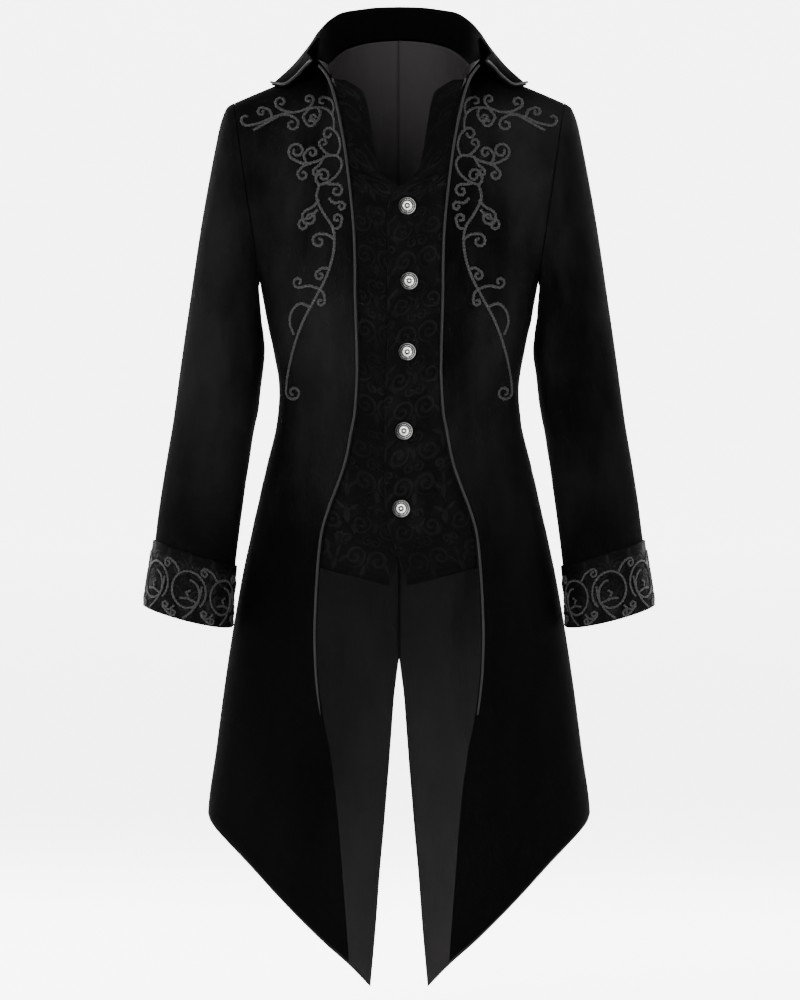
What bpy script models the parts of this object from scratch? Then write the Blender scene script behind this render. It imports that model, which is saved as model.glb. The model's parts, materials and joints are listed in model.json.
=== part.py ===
"""A velvet tailcoat with attached waistcoat fronts, hollow as if worn.

The coat hangs upright with its front towards -Y. Its origin is the middle of the neck.
Left and right are the wearer's, so left pieces lie at +X. Lengths are in millimetres
until a mesh is made, which is in metres.
"""

import bpy
import numpy as np
from mathutils import Vector

METRES = 0.001

# Cloth thicknesses and the gap that every seam keeps.
COAT_WALL = 2.0
LINING_WALL = 1.0
VEST_WALL = 1.5
COLLAR_WALL = 1.8
CUFF_WALL = 2.2
SEAM_GAP = 0.3

# Heights of the lines that the panels are laid out on.
CHEST = -290.0
HIP = -640.0

# The coat's outer oval at each height, with its depth before and behind the side seam.
# Squareness is the power of the oval: 2 is an ellipse.
BODY_COLUMNS = ("z", "half_width", "front", "back", "squareness")
BODY = (
    (-1140, 241, 130, 158, 2.0),
    (-1000, 240, 130, 156, 2.0),
    (-908, 237, 128, 153, 2.0),
    (-833, 227, 126, 149, 2.0),
    (-771, 219, 124, 144, 2.0),
    (-715, 211, 122, 139, 2.0),
    (-660, 202, 120, 134, 2.0),
    (-610, 193, 117, 128, 2.02),
    (-560, 182, 114, 121, 2.05),
    (-498, 168, 109, 111, 2.1),
    (-461, 159, 106, 104, 2.15),
    (-424, 151, 104, 98, 2.2),
    (-386, 148.5, 105, 96, 2.3),
    (-337, 156, 110, 99, 2.42),
    (-290, 166, 114, 103, 2.5),
)

# Distance of the front edge from the centre, from the tip of the tail up to the neck.
EDGE_COLUMNS = ("z", "x")
EDGE = (
    (-1130, 58),
    (-1094, 61),
    (-986, 69),
    (-900, 76),
    (-833, 84),
    (-786, 93),
    (-730, 99.5),
    (-687, 101),
    (-640, 99.5),
    (-599, 97),
    (-563, 93),
    (-531, 84),
    (-505, 74),
    (-472, 63),
    (-435, 56),
    (-413, 52),
    (-357, 49),
    (-268, 51),
    (-201, 53),
    (-145, 58),
    (-89, 65),
    (-27, 77),
    (0, 86),
    (21, 102),
)

# Distance of the vent's edge from the centre.
VENT_COLUMNS = ("z", "x")
VENT = (
    (-1140, 36.5),
    (-1069, 30),
    (-1019, 26),
    (-945, 20),
    (-895, 16),
    (-833, 10.5),
    (-771, 6),
    (-715, 0.4),
    (-290, 0.4),
)

# Height of the slanted hem at each distance from the centre. Its tilt raises it towards the
# front, by this share of the distance before the side seam.
HEM_TILT = 0.085
HEM_COLUMNS = ("x", "z")
HEM = (
    (30, -1131),
    (61, -1099),
    (97, -1067),
    (145, -1019),
    (191, -969),
    (214, -945),
    (226, -932),
    (234, -921),
    (237, -912),
    (242, -904),
)

# The sleeve joins here: the shoulder tip, the underarm and the armhole's half depth.
SHOULDER_TIP = (204.0, 0.0, -31.0)
UNDERARM = (172.0, 0.0, -255.0)
ARMHOLE_DEPTH = 62.0
ARMHOLE_END = 0.9994
TIP_GAP = 0.7
ARMHOLE_CUT = 0.65

# Where the front columns end: along the neck from the peak, then along the shoulder seam.
# Bend is how far each column rounds over, from 0, straight, to 1, level at its end.
TOP_COLUMNS = ("across", "x", "y", "z", "bend")
FRONT_TOP = (
    (-1.0, 0, -62, 21, 0.6),
    (0.0, 102, -48, 21, 0.6),
    (0.08, 98, -34, 19.5, 0.74),
    (0.16, 94, -18, 18, 0.88),
    (0.24, 91, 0, 16, 0.96),
    (0.36, 106, 0, 9, 0.985),
    (0.5, 128, 0, 0.5, 0.99),
    (0.75, 168, 0, -15.5, 0.99),
    (1.0, 204, 0, -31, 0.99),
)
BACK_TOP = (
    (0.0, 204, 0, -31, 0.99),
    (0.25, 168, 0, -15.5, 0.99),
    (0.48, 128, 0, 0.5, 0.99),
    (0.62, 91, 0, 16, 0.99),
    (0.72, 85, 28, 23, 0.95),
    (0.82, 65, 56, 38, 0.85),
    (0.91, 34, 74, 46.5, 0.75),
    (1.0, 0.4, 80, 49, 0.7),
    (1.09, -34, 74, 46.5, 0.75),
)

# Rings of the sleeve from the armhole to the hem: its outer and inner lines seen from the
# front, its half depth, where its middle lies, and how far its front edge drops.
SLEEVE_COLUMNS = ("ring", "top_x", "top_z", "under_x", "under_z", "depth", "y", "drop")
SLEEVE = (
    (0, 204.7, -31, 172.5, -255, 62, 0, 0),
    (1, 212.5, -36, 173.6, -258, 63.5, 0, 0),
    (2, 220.5, -54, 173.4, -263, 65, 0, 0),
    (3, 228, -88, 172.8, -270, 66, 0, 0),
    (4, 236, -130, 172, -279, 66.5, 0, 0),
    (5, 244, -175, 171, -290, 66.5, 1, 0),
    (6, 251, -220, 169.5, -303, 66, 2, 0),
    (7, 258, -268, 167.5, -320, 65, 3, 0),
    (8, 264.5, -312, 166, -340, 64, 4, 0),
    (9, 272, -365, 172, -392, 61.5, 5, 0),
    (10, 280, -424, 181, -450, 59, 4, 0),
    (11, 290, -484, 190, -510, 56.5, -4, 0),
    (12, 298, -538, 198, -566, 54.5, -16, 0),
    (13, 302, -572, 202.5, -604, 53, -24, 1),
    (14, 308, -612, 206, -641, 51.5, -32, 3),
    (15, 314, -650, 208, -677, 50, -39, 6),
    (16, 320, -689, 210, -714, 48.5, -46, 7),
)
CUFF_FROM = 13.0
CUFF_TO = 15.04
SLEEVE_TO = 14.96

# Soft folds pressed into the sleeves: where each lies, its reach along and round, its depth.
SLEEVE_FOLD_COLUMNS = ("ring", "turn", "along", "round", "depth", "lean")
SLEEVE_FOLDS = (
    (9.6, 1.3, 0.55, 0.75, 3.4, 0.5),
    (10.6, 0.9, 0.5, 0.7, 3.0, 0.6),
    (11.5, 5.3, 0.6, 0.8, 2.6, -0.5),
    (8.3, 4.7, 0.7, 0.6, 2.4, -0.6),
    (4.6, 1.2, 0.9, 0.4, 2.4, 0.2),
)

# Long flutes of the skirt, by angle from centre front in degrees.
FLUTE_COLUMNS = ("angle", "width", "depth")
FLUTES = (
    (34, 9, 5.0),
    (58, 8, -4.0),
    (112, 10, -6.0),
    (133, 9, 8.0),
    (154, 9, -6.5),
)
FLUTE_START = -520.0
FLUTE_FULL = -930.0

# The folded collar from its front end to the middle of the back: its top fold, the edge of
# its fall on the shoulder, and how far the fall hollows between them.
COLLAR_COLUMNS = (
    "along", "fold_x", "fold_y", "fold_z", "edge_x", "edge_y", "edge_z", "hollow"
)
COLLAR = (
    (0.0, 100, -45, 49, 103.4, -50.6, 21.5, 0),
    (0.133, 101.5, -31, 52, 114.5, -36, 12, 0),
    (0.267, 100, -15, 56, 127, -29, -1, 0),
    (0.4, 97, 1, 60.5, 143, -22, -11, 0),
    (0.495, 92, 19, 67, 157, 0, -11, 3),
    (0.589, 83, 35, 75.5, 141, 24, -9, 4),
    (0.684, 70, 51, 83, 108, 44, -3, 3),
    (0.795, 49, 65, 87, 82, 68, 6, 0),
    (0.897, 26, 74, 90, 46, 86, 16, 0),
    (1.0, 0, 77, 90.7, 0, 92.5, 21, 0),
)
COLLAR_RIDGE = 0.4
FRONT_NECK = 0.24
BACK_NECK = 0.62
COLLAR_CLEARANCE = 1.6
COLLAR_RISE = 1.5
FALL_ROW = 5
FOLD_HALF = 2.6
FOLD_FALL = 2.2

# The waistcoat's free edge: distance from the centre at each height, over the closure
# where it is negative, then out along the neckline.
VEST_EDGE_COLUMNS = ("z", "over", "under")
VEST_EDGE = (
    (-627, 11, 13),
    (-606, -1, 0),
    (-574, -10, -8),
    (-552, -16, -10),
    (-500, -19, -10),
    (-424, -19, -10),
    (-312, -15, -10),
    (-165, -15, -9),
    (-150, -12, -7),
    (-134, 1, 1),
    (-124, 14, 14),
    (-109, 26, 26),
    (-60, 35, 35),
    (-18, 44, 44),
    (-8, 56, 56),
    (8, 88, 88),
)

# Button centres on the waistcoat, seen from the front.
BUTTON_COLUMNS = ("x", "z")
BUTTONS = (
    (10, -160),
    (12.4, -252),
    (10, -338.5),
    (6, -436.5),
    (2.5, -532),
)
BUTTON_RADIUS = 11.0
BUTTON_HEIGHT = 6.2

# A button's profile, as shares of its radius and height.
BUTTON_PROFILE_COLUMNS = ("reach", "height")
BUTTON_PROFILE = (
    (0, 1),
    (0.34, 0.94),
    (0.6, 0.76),
    (0.76, 0.5),
    (0.84, 0.56),
    (0.94, 0.5),
    (1, 0.34),
    (0.96, 0.12),
    (0.8, 0),
    (0, 0),
)
BUTTON_SIDES = 14

# The corded edge. The collar's stands off a little more, because its fall curves away.
PIPING_RADIUS = 1.6
PIPING_LIFT = PIPING_RADIUS + SEAM_GAP
PIPING_STAND_OFF = 0.65
PIPING_FOOT = -786.0
PIPING_INSET = 0.012
PIPING_TOP = 2.98

# Columns and rows of every panel's grid. Layers share them, so that they stay parallel.
FRONT_ACROSS = (0, 0.08, 0.16, 0.24, 0.36, 0.49, 0.62, 0.74, 0.84, 0.93, 0.9985)
BACK_ACROSS = (0.001, 0.06, 0.16, 0.3, 0.46, 0.62, 0.68, 0.74, 0.8, 0.87, 0.935, 1)
SKIRT_LEVELS = np.arange(6) / 6
BODY_HEIGHTS = (-640, -595, -550, -505, -460, -420, -380, -340, -290)
BODY_LEVELS = 1 + (np.array(BODY_HEIGHTS) - HIP) / (CHEST - HIP)
ARM_BEND = np.arcsin(FRONT_TOP[-1][4])
UNDERARM_RISE = (UNDERARM[2] - CHEST) / (SHOULDER_TIP[2] - CHEST)
UNDERARM_LEVEL = 2 + np.arcsin(np.sin(ARM_BEND) * UNDERARM_RISE) / ARM_BEND
ARMHOLE_STEPS = np.array((0, 0.05, 0.13, 0.24, 0.36, 0.48, 0.6, 0.72, 0.83, 0.91, 0.965, 1))
TOP_LEVEL = 2.9975
UPPER_LEVELS = UNDERARM_LEVEL + (TOP_LEVEL - UNDERARM_LEVEL) * ARMHOLE_STEPS
PANEL_LEVELS = np.concatenate([SKIRT_LEVELS, BODY_LEVELS, UPPER_LEVELS])

# Rings of the sleeve's and the cuff's grids.
SLEEVE_RINGS = (0, 1, 2, 3, 4.2, 5.6, 7, 8.2, 9, 9.6, 10.3, 11, 11.7, 12.4, CUFF_FROM, 13.7, 14.4)
CUFF_RINGS = (CUFF_FROM, 13.7, 14.4, CUFF_TO)

# How far each layer's outer face lies inside the coat's outer face.
LINING_DEPTH = COAT_WALL + SEAM_GAP
LINING_STOP = 0.7
LINING_SEAM = 0.6
VEST_DEPTH = COAT_WALL + 1.2
VEST_RECESS = 4.5
UNDER_LAP = VEST_WALL + 0.6

# Rows and columns of a waistcoat front.
VEST_SHARES = (0, 0.2, 0.4, 0.6, 0.8)
VEST_ACROSS = (0, 0.08, 0.16, 0.24, 0.36, 0.49)
VEST_TOP_LEVEL = UPPER_LEVELS[-3]
VEST_HEM = -605.0
VEST_POINT = -626.0
VEST_HEM_ROW = 20.0
VEST_NECK_ROWS = (-137.0, -127.0)


def column(columns, table, name):
    return np.array([row[columns.index(name)] for row in table], float)


def smooth(xs, ys, at):
    """Reads a smooth curve through a table's points. It never swings past them."""
    slope = np.diff(ys) / np.diff(xs)
    both = slope[1:] * slope[:-1]
    total = slope[1:] + slope[:-1]
    middle = np.where(both > 0, 2 * both / np.where(both > 0, total, 1), 0)
    tangent = np.concatenate([slope[:1], middle, slope[-1:]])
    at = np.clip(at, xs[0], xs[-1])
    i = np.clip(np.searchsorted(xs, at, side="right") - 1, 0, len(xs) - 2)
    step = xs[i + 1] - xs[i]
    t = (at - xs[i]) / step
    rise = ys[i + 1] - ys[i]
    start = step * tangent[i]
    end = step * tangent[i + 1]
    return ys[i] + t * (start + t * ((3 * rise - 2 * start - end) + t * (start + end - 2 * rise)))


def read(columns, table, name, at):
    return smooth(column(columns, table, columns[0]), column(columns, table, name), at)


def ease(low, high, at):
    """Rises smoothly from 0 at low to 1 at high."""
    t = np.clip((at - low) / (high - low), 0, 1)
    return t * t * (3 - 2 * t)


def points(x, y, z):
    return np.stack(np.broadcast_arrays(x, y, z), axis=-1)


def flute(angle, z):
    """How far the skirt's folds stand out, which grows towards the hem."""
    total = np.zeros(np.broadcast(angle, z).shape)
    for middle, width, depth in FLUTES:
        total = total + depth * np.exp(-(((np.degrees(angle) - middle) / width) ** 2))
    return total * ease(FLUTE_START, FLUTE_FULL, z)


def oval(angle, z):
    """The coat's outer face at an angle from centre front, up to the chest line."""
    width = read(BODY_COLUMNS, BODY, "half_width", z)
    front = read(BODY_COLUMNS, BODY, "front", z)
    back = read(BODY_COLUMNS, BODY, "back", z)
    depth = np.where(np.cos(angle) > 0, front, back) + flute(angle, z)
    power = 2 / read(BODY_COLUMNS, BODY, "squareness", z)
    return points(width * signed(np.sin(angle), power), -depth * signed(np.cos(angle), power), z)


def signed(value, power):
    """A power that keeps its value's sign."""
    return np.sign(value) * np.abs(value) ** power


def angle_of(x, z):
    width = read(BODY_COLUMNS, BODY, "half_width", z)
    power = read(BODY_COLUMNS, BODY, "squareness", z) / 2
    return np.arcsin(signed(np.clip(x / width, -1, 1), power))


def front_angle(across, z):
    """Angle of a front column: -1 is centre front, 0 the coat's edge and 1 the side seam."""
    edge_x = read(EDGE_COLUMNS, EDGE, "x", z)
    edge = angle_of(edge_x, z)
    inner = angle_of(edge_x * (1 + across), z)
    return np.where(across < 0, inner, edge + (np.pi / 2 - edge) * across)


def back_angle(across, z):
    """Angle of a back column: 0 is the side seam and 1 the centre seam or the vent."""
    edge = np.pi - angle_of(read(VENT_COLUMNS, VENT, "x", z), z)
    return np.pi / 2 + (edge - np.pi / 2) * across


def hem_height(across, angle):
    """Height at which a column meets the slanted hem."""
    z = np.full(np.shape(across), -1000.0)
    for _ in range(12):
        place = oval(angle(across, z), z)
        z = read(HEM_COLUMNS, HEM, "z", place[..., 0]) - HEM_TILT * place[..., 1]
    return z


def armhole(height, side):
    """The seam from the chest line up the side and round the armhole to the shoulder tip."""
    tip = np.array(SHOULDER_TIP)
    low = np.array(UNDERARM)
    t = np.clip((height - low[2]) / (tip[2] - low[2]), 0, 1)
    share = np.clip(t / ARMHOLE_END, 0, 1)
    y = side * (ARMHOLE_DEPTH * 2 * np.sqrt(share * (1 - share)) + TIP_GAP * t)
    chest_x = BODY[-1][1]
    seam = np.clip((height - CHEST) / (low[2] - CHEST), 0, 1)
    x = chest_x + (low[0] - chest_x) * seam + (tip[0] - low[0]) * t
    return points(x, y, height)


def shoulder(across, level, angle, top):
    """A point above the chest line, on columns that rise and round over to the panel's top."""
    foot = oval(angle(across, CHEST + 0 * across), CHEST + 0 * across)
    end = points(*[read(TOP_COLUMNS, top, name, across) for name in ("x", "y", "z")])
    bend = read(TOP_COLUMNS, top, "bend", across)
    rise = np.sin(np.clip(level - 2, 0, 1) * np.arcsin(bend)) / bend
    turn = (1 - np.sqrt(1 - (bend * rise) ** 2)) / (1 - np.sqrt(1 - bend**2))
    return points(
        foot[..., 0] + (end[..., 0] - foot[..., 0]) * rise,
        foot[..., 1] + (end[..., 1] - foot[..., 1]) * turn,
        CHEST + (end[..., 2] - CHEST) * rise,
    )


def panel(across, level, angle, top, side):
    """A point of the coat's outer face.

    Level runs from 0 at the hem through 1 at the hip and 2 at the chest to 3 at the top.
    Side is -1 for the front, whose armhole is at across 1, and 1 for the back, where it is 0.
    """
    across, level = np.broadcast_arrays(np.asarray(across, float), np.asarray(level, float))
    low_z = hem_height(across, angle)
    z = np.where(
        level < 1,
        low_z + (HIP - low_z) * np.clip(level, 0, 1),
        HIP + (CHEST - HIP) * np.clip(level - 1, 0, 1),
    )
    lower = oval(angle(across, z), z)

    side_across = 1.0 if side < 0 else 0.0
    tip = shoulder(np.full(level.shape, side_across), level, angle, top)
    seam = armhole(tip[..., 2], side)
    cut = np.zeros(level.shape)
    step = 0.4
    for _ in range(22):
        tried = shoulder(moved_in(0 * level, cut + step, side), level, angle, top)
        cut = np.where(side * tried[..., 1] < side * seam[..., 1], cut + step, cut)
        step = step / 2
    climbed = (seam[..., 2] - UNDERARM[2]) / (SHOULDER_TIP[2] - UNDERARM[2])
    cut = np.minimum(cut, ARMHOLE_CUT * np.sqrt(1 - np.clip(climbed, 0, 1)))
    inset = 1 - np.abs(across - side_across)
    near = np.clip(inset, 0, 1)
    moved = np.where(across < 0, across, moved_in(1 - near, cut, side))
    upper = shoulder(moved, level, angle, top)
    start = shoulder(moved_in(0 * level, cut, side), level, angle, top)
    upper = upper + (seam - start) * (near**2.5)[..., None]
    if side < 0:
        upper = upper + front_edge_shift(across, upper)
    upper[..., 1] = side * np.maximum(side * upper[..., 1], TIP_GAP * ease(2, 2.5, level))
    return np.where((level < 2)[..., None], lower, upper)


def moved_in(away, cut, side):
    """Place across of a column that lies away from the armhole, once the armhole is cut in."""
    place = cut + (1 - cut) * away
    return 1 - place if side < 0 else place


def front_edge_shift(across, upper):
    """Moves the upper front sideways, so that its edge follows the edge table."""
    z = upper[..., 2]
    chest_edge = read(EDGE_COLUMNS, EDGE, "x", CHEST)
    start = FRONT_TOP[1]
    plain = chest_edge + (start[1] - chest_edge) * (z - CHEST) / (start[3] - CHEST)
    edge_x = read(EDGE_COLUMNS, EDGE, "x", z)
    fading = (edge_x - plain) * np.clip(1 - across / 0.6, 0, 1) ** 2
    shift = np.where(across < 0, edge_x * (1 + across) - upper[..., 0], fading)
    return points(shift, 0 * shift, 0 * shift)


def front(across, level):
    return panel(across, level, front_angle, FRONT_TOP, -1)


def back(across, level):
    return panel(across, level, back_angle, BACK_TOP, 1)


def front_normal(across, level):
    return normals(front, across, level, (0, 1), (0, 3))


def normals(surface, a, b, a_range, b_range, step=2e-3):
    """Outward directions of a surface, from points a little to each side."""
    a, b = np.broadcast_arrays(np.asarray(a, float), np.asarray(b, float))
    a0, a1 = np.clip(a - step, *a_range), np.clip(a + step, *a_range)
    b0, b1 = np.clip(b - step, *b_range), np.clip(b + step, *b_range)
    cross = np.cross(surface(a1, b) - surface(a0, b), surface(a, b1) - surface(a, b0))
    return cross / np.linalg.norm(cross, axis=-1, keepdims=True)


def vertex_normals(grid):
    """Outward directions at a grid's corners, from the triangles that meet there."""
    corners = grid.reshape(-1, 3)
    faces = np.array(grid_faces(*grid.shape[:2], False))
    a, b, c = (corners[faces[:, k]] for k in range(3))
    flat = unit(np.cross(b - a, c - a))
    total = np.zeros_like(corners)
    for k in range(3):
        here, after, before = (corners[faces[:, (k + i) % 3]] for i in range(3))
        spread = np.arccos(np.clip(np.sum(unit(after - here) * unit(before - here), axis=-1), -1, 1))
        np.add.at(total, faces[:, k], flat * spread[:, None])
    return unit(total).reshape(grid.shape)


def front_heights(level):
    """Height of the front edge at a level."""
    return front(0.0, level)[..., 2]


def level_at(z):
    """Level of a height on the middle of the front."""
    if z < CHEST:
        return 1 + (z - HIP) / (CHEST - HIP)
    _, _, _, top_z, bend = FRONT_TOP[0]
    return 2 + np.arcsin(bend * (z - CHEST) / (top_z - CHEST)) / np.arcsin(bend)


def lining_grid(panel_back):
    """The back lining, which lies inside the back and stops a little short of its top seam."""
    grid = panel_back - vertex_normals(panel_back) * LINING_DEPTH
    grid[-1] = grid[-2] + (grid[-1] - grid[-2]) * LINING_STOP
    grid[:, -1, 0] = np.maximum(grid[:, -1, 0], LINING_SEAM)
    return grid


def vest_levels():
    """Levels of a waistcoat front's rows above its hem, shared with the coat where they can be."""
    body = [level for level in BODY_LEVELS if front_heights(level) > VEST_HEM + VEST_HEM_ROW]
    upper = [level for level in UPPER_LEVELS if level < VEST_TOP_LEVEL]
    neck = [level_at(z) for z in VEST_NECK_ROWS]
    return np.array(sorted(body + upper + neck) + [VEST_TOP_LEVEL])


def vest_columns(lap, level):
    """A row's places across, from its free edge out to where it is sewn under the coat."""
    z = front_heights(level)
    free = read(VEST_EDGE_COLUMNS, VEST_EDGE, lap, z) / read(EDGE_COLUMNS, EDGE, "x", z) - 1
    return np.array([free * (1 - share) for share in VEST_SHARES] + list(VEST_ACROSS))


def vest_offset(across, x, lap):
    """Depth of the waistcoat's outer face, which sinks a little away from the coat's edge."""
    sunk = VEST_DEPTH + VEST_RECESS * ease(0.1, -0.35, across)
    if lap == "under":
        sunk = sunk + UNDER_LAP * (1 - ease(26, 52, x))
    return sunk


def vest_hem(lap):
    """Places across and levels of a waistcoat front's hem, which drops to a point."""
    across = vest_columns(lap, level_at(VEST_HEM))
    free = read(VEST_EDGE_COLUMNS, VEST_EDGE, lap, VEST_POINT)
    free = free / read(EDGE_COLUMNS, EDGE, "x", VEST_POINT) - 1
    shares = np.array(VEST_SHARES)
    across[: len(shares)] = free * (1 - shares)
    shares = np.concatenate([shares, np.ones(len(VEST_ACROSS))])
    return across, np.array([level_at(z) for z in VEST_POINT + (VEST_HEM - VEST_POINT) * shares])


def vest_grid(lap):
    """A waistcoat front's outer face."""
    hem_across, hem_level = vest_hem(lap)
    across = np.array([hem_across] + [vest_columns(lap, level) for level in vest_levels()])
    level = np.array([hem_level] + [np.full(len(hem_level), level) for level in vest_levels()])
    place = front(across, level)
    sunk = vest_offset(across, place[..., 0], lap)
    return place - vertex_normals(place) * sunk[..., None]


def vest_point(grid, x, z):
    """A place on a waistcoat front's own facets, and its outward direction."""
    corners = grid.reshape(-1, 3)
    for a, b, c in grid_faces(*grid.shape[:2], False):
        first, second = corners[b] - corners[a], corners[c] - corners[a]
        square = np.array([first[[0, 2]], second[[0, 2]]]).T
        s, t = np.linalg.solve(square, np.array((x, z)) - corners[a][[0, 2]])
        if min(s, t) >= 0 and s + t <= 1:
            return corners[a] + s * first + t * second, unit(np.cross(first, second))
    raise ValueError("the place is off the waistcoat")


def armhole_turns():
    """Angles round the armhole of the panels' corners, from the underarm up the front and back."""
    rise = np.sin((UPPER_LEVELS - 2) * ARM_BEND) / np.sin(ARM_BEND)
    height = CHEST + (SHOULDER_TIP[2] - CHEST) * rise
    share = np.clip((height - UNDERARM[2]) / (SHOULDER_TIP[2] - UNDERARM[2]), 0, 1)
    front_half = np.arccos(1 - 2 * share)
    return np.concatenate([front_half, 2 * np.pi - front_half[-2:0:-1]])


def sleeve(ring, turn):
    """A point of the sleeve's outer face. Turn runs from the underarm up over the front."""
    top_x, top_z, under_x, under_z, depth, middle_y, drop = (
        read(SLEEVE_COLUMNS, SLEEVE, name, ring) for name in SLEEVE_COLUMNS[1:]
    )
    x = (top_x + under_x) / 2 - (top_x - under_x) / 2 * np.cos(turn)
    z = (top_z + under_z) / 2 - (top_z - under_z) / 2 * np.cos(turn) - drop * np.sin(turn)
    y = middle_y - depth * np.sin(turn)
    place = points(x, y, z)
    middle = points((top_x + under_x) / 2, middle_y, (top_z + under_z) / 2)
    outward = place - middle
    outward = outward / np.linalg.norm(outward, axis=-1, keepdims=True)
    return place - outward * sleeve_fold(ring, turn)[..., None]


def sleeve_fold(ring, turn):
    total = np.zeros(np.broadcast(ring, turn).shape)
    for at_ring, at_turn, along, around, depth, lean in SLEEVE_FOLDS:
        aside = (turn - at_turn + np.pi) % (2 * np.pi) - np.pi
        forward = ring - at_ring - lean * aside
        total = total + depth * np.exp(-((forward / along) ** 2) - (aside / around) ** 2)
    return total


def sleeve_grid(rings, outward):
    """Rings of the sleeve or cuff, moved out. They match the armhole's corners at the top."""
    joined = armhole_turns()
    even = np.linspace(0, 2 * np.pi, len(joined), endpoint=False)
    ring = np.array(rings, float)[:, None]
    turn = joined + (even - joined) * ease(0, 4, ring)
    ahead = sleeve(ring + 0.02, turn) - sleeve(ring - 0.02, turn)
    around = sleeve(ring, turn + 0.02) - sleeve(ring, turn - 0.02)
    normal = np.cross(ahead, around)
    normal = normal / np.linalg.norm(normal, axis=-1, keepdims=True)
    return sleeve(ring, turn) + normal * outward


def unit(vectors):
    return vectors / np.linalg.norm(vectors, axis=-1, keepdims=True)


def collar_half():
    """The visible face of the collar's left half, from the stand's foot over to the fall's edge."""
    neck_front = np.array([u for u in FRONT_ACROSS if u <= FRONT_NECK])
    neck_back = np.array([w for w in BACK_ACROSS if w > BACK_NECK])
    along = np.concatenate(
        [
            COLLAR_RIDGE * neck_front / FRONT_NECK,
            COLLAR_RIDGE + (1 - COLLAR_RIDGE) * (neck_back - BACK_NECK) / (1 - BACK_NECK),
        ]
    )
    neck = np.concatenate([front(neck_front, TOP_LEVEL), back(neck_back, TOP_LEVEL)])
    names = COLLAR_COLUMNS[1:]
    values = dict(zip(names, (read(COLLAR_COLUMNS, COLLAR, name, along) for name in names)))
    fold = points(values["fold_x"], values["fold_y"], values["fold_z"])
    edge = points(values["edge_x"], values["edge_y"], values["edge_z"])
    ahead = np.gradient(fold, axis=0)
    flat = unit(points(ahead[:, 1], -ahead[:, 0], 0))
    foot = neck - flat * COAT_WALL + (0, 0, COLLAR_RISE)
    inner = fold - flat * FOLD_HALF - (0, 0, FOLD_FALL)
    outer = fold + flat * FOLD_HALF - (0, 0, FOLD_FALL)
    rows = [foot, (foot + inner) / 2, inner, fold, outer]
    for share in (0.3, 0.65):
        hollow = 4 * share * (1 - share) * values["hollow"]
        rows.append(outer + (edge - outer) * share - flat * hollow[:, None])
    rows.append(edge)
    half = np.array(rows)
    half[FALL_ROW:] = kept_clear(half[FALL_ROW:], COLLAR_WALL + COLLAR_CLEARANCE)
    half[:, -1, 0] = 0
    return half


def kept_clear(places, clearance):
    """Moves places out until each stands clear of the shoulders."""
    across, level = np.meshgrid(np.linspace(0, 1, 50), np.linspace(2.6, TOP_LEVEL, 40))
    sides = (front(across, level), back(across, level))
    skin = np.concatenate(sides).reshape(-1, 3)
    out = np.concatenate([vertex_normals(side) for side in sides]).reshape(-1, 3)
    flat = places.reshape(-1, 3)
    nearest = np.argmin(np.linalg.norm(flat[:, None] - skin[None], axis=-1), axis=1)
    gap = np.sum((flat - skin[nearest]) * out[nearest], axis=-1)
    lift = np.maximum(0, clearance - gap)[:, None] * out[nearest]
    return (flat + lift).reshape(places.shape)


def mirrored(half):
    """Both halves of a grid whose last column lies on the middle."""
    return np.concatenate([half * (-1, 1, 1), half[:, -2::-1]], axis=1)


def grid_faces(rows, columns, closed):
    """Triangles of a grid of points, with the same diagonal in every cell."""
    faces = []
    for i in range(rows - 1):
        for j in range(columns if closed else columns - 1):
            k = (j + 1) % columns
            a, b = i * columns + j, i * columns + k
            c, d = b + columns, a + columns
            faces += [(a, b, c), (a, c, d)]
    return faces


def material(name, colour, roughness, metallic=0.0, sheen=0.0):
    made = bpy.data.materials.new(name)
    made.use_nodes = True
    shader = made.node_tree.nodes["Principled BSDF"]
    shader.inputs["Base Color"].default_value = (*colour, 1)
    shader.inputs["Roughness"].default_value = roughness
    shader.inputs["Metallic"].default_value = metallic
    shader.inputs["Sheen Weight"].default_value = sheen
    made.diffuse_color = (*colour, 1)
    return made


def add(name, data, look, collection):
    made = bpy.data.objects.new(name, data)
    data.materials.append(look)
    collection.objects.link(made)
    return made


def cloth(name, grid, wall, look, collection, side=1, closed=False, turned=False):
    """A cloth wall: the grid is its outer face, and Solidify gives it thickness inwards."""
    rows, columns = grid.shape[:2]
    corners = (grid * (side, 1, 1)).reshape(-1, 3) * METRES
    faces = grid_faces(rows, columns, closed)
    if (side < 0) != turned:
        faces = [face[::-1] for face in faces]
    mesh = bpy.data.meshes.new(name)
    mesh.from_pydata(corners.tolist(), [], faces)
    mesh.shade_smooth()
    made = add(name, mesh, look, collection)
    thickness = made.modifiers.new("Wall", "SOLIDIFY")
    thickness.thickness = wall * METRES
    thickness.offset = -1
    return made


def cord(name, route, radius, look, collection):
    """A round cord along a route of points."""
    curve = bpy.data.curves.new(name, "CURVE")
    curve.dimensions = "3D"
    curve.bevel_depth = radius * METRES
    curve.bevel_resolution = 1
    curve.use_fill_caps = True
    spline = curve.splines.new("POLY")
    spline.points.add(len(route) - 1)
    for point, place in zip(spline.points, route * METRES):
        point.co = (*place, 1)
    return add(name, curve, look, collection)


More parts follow.
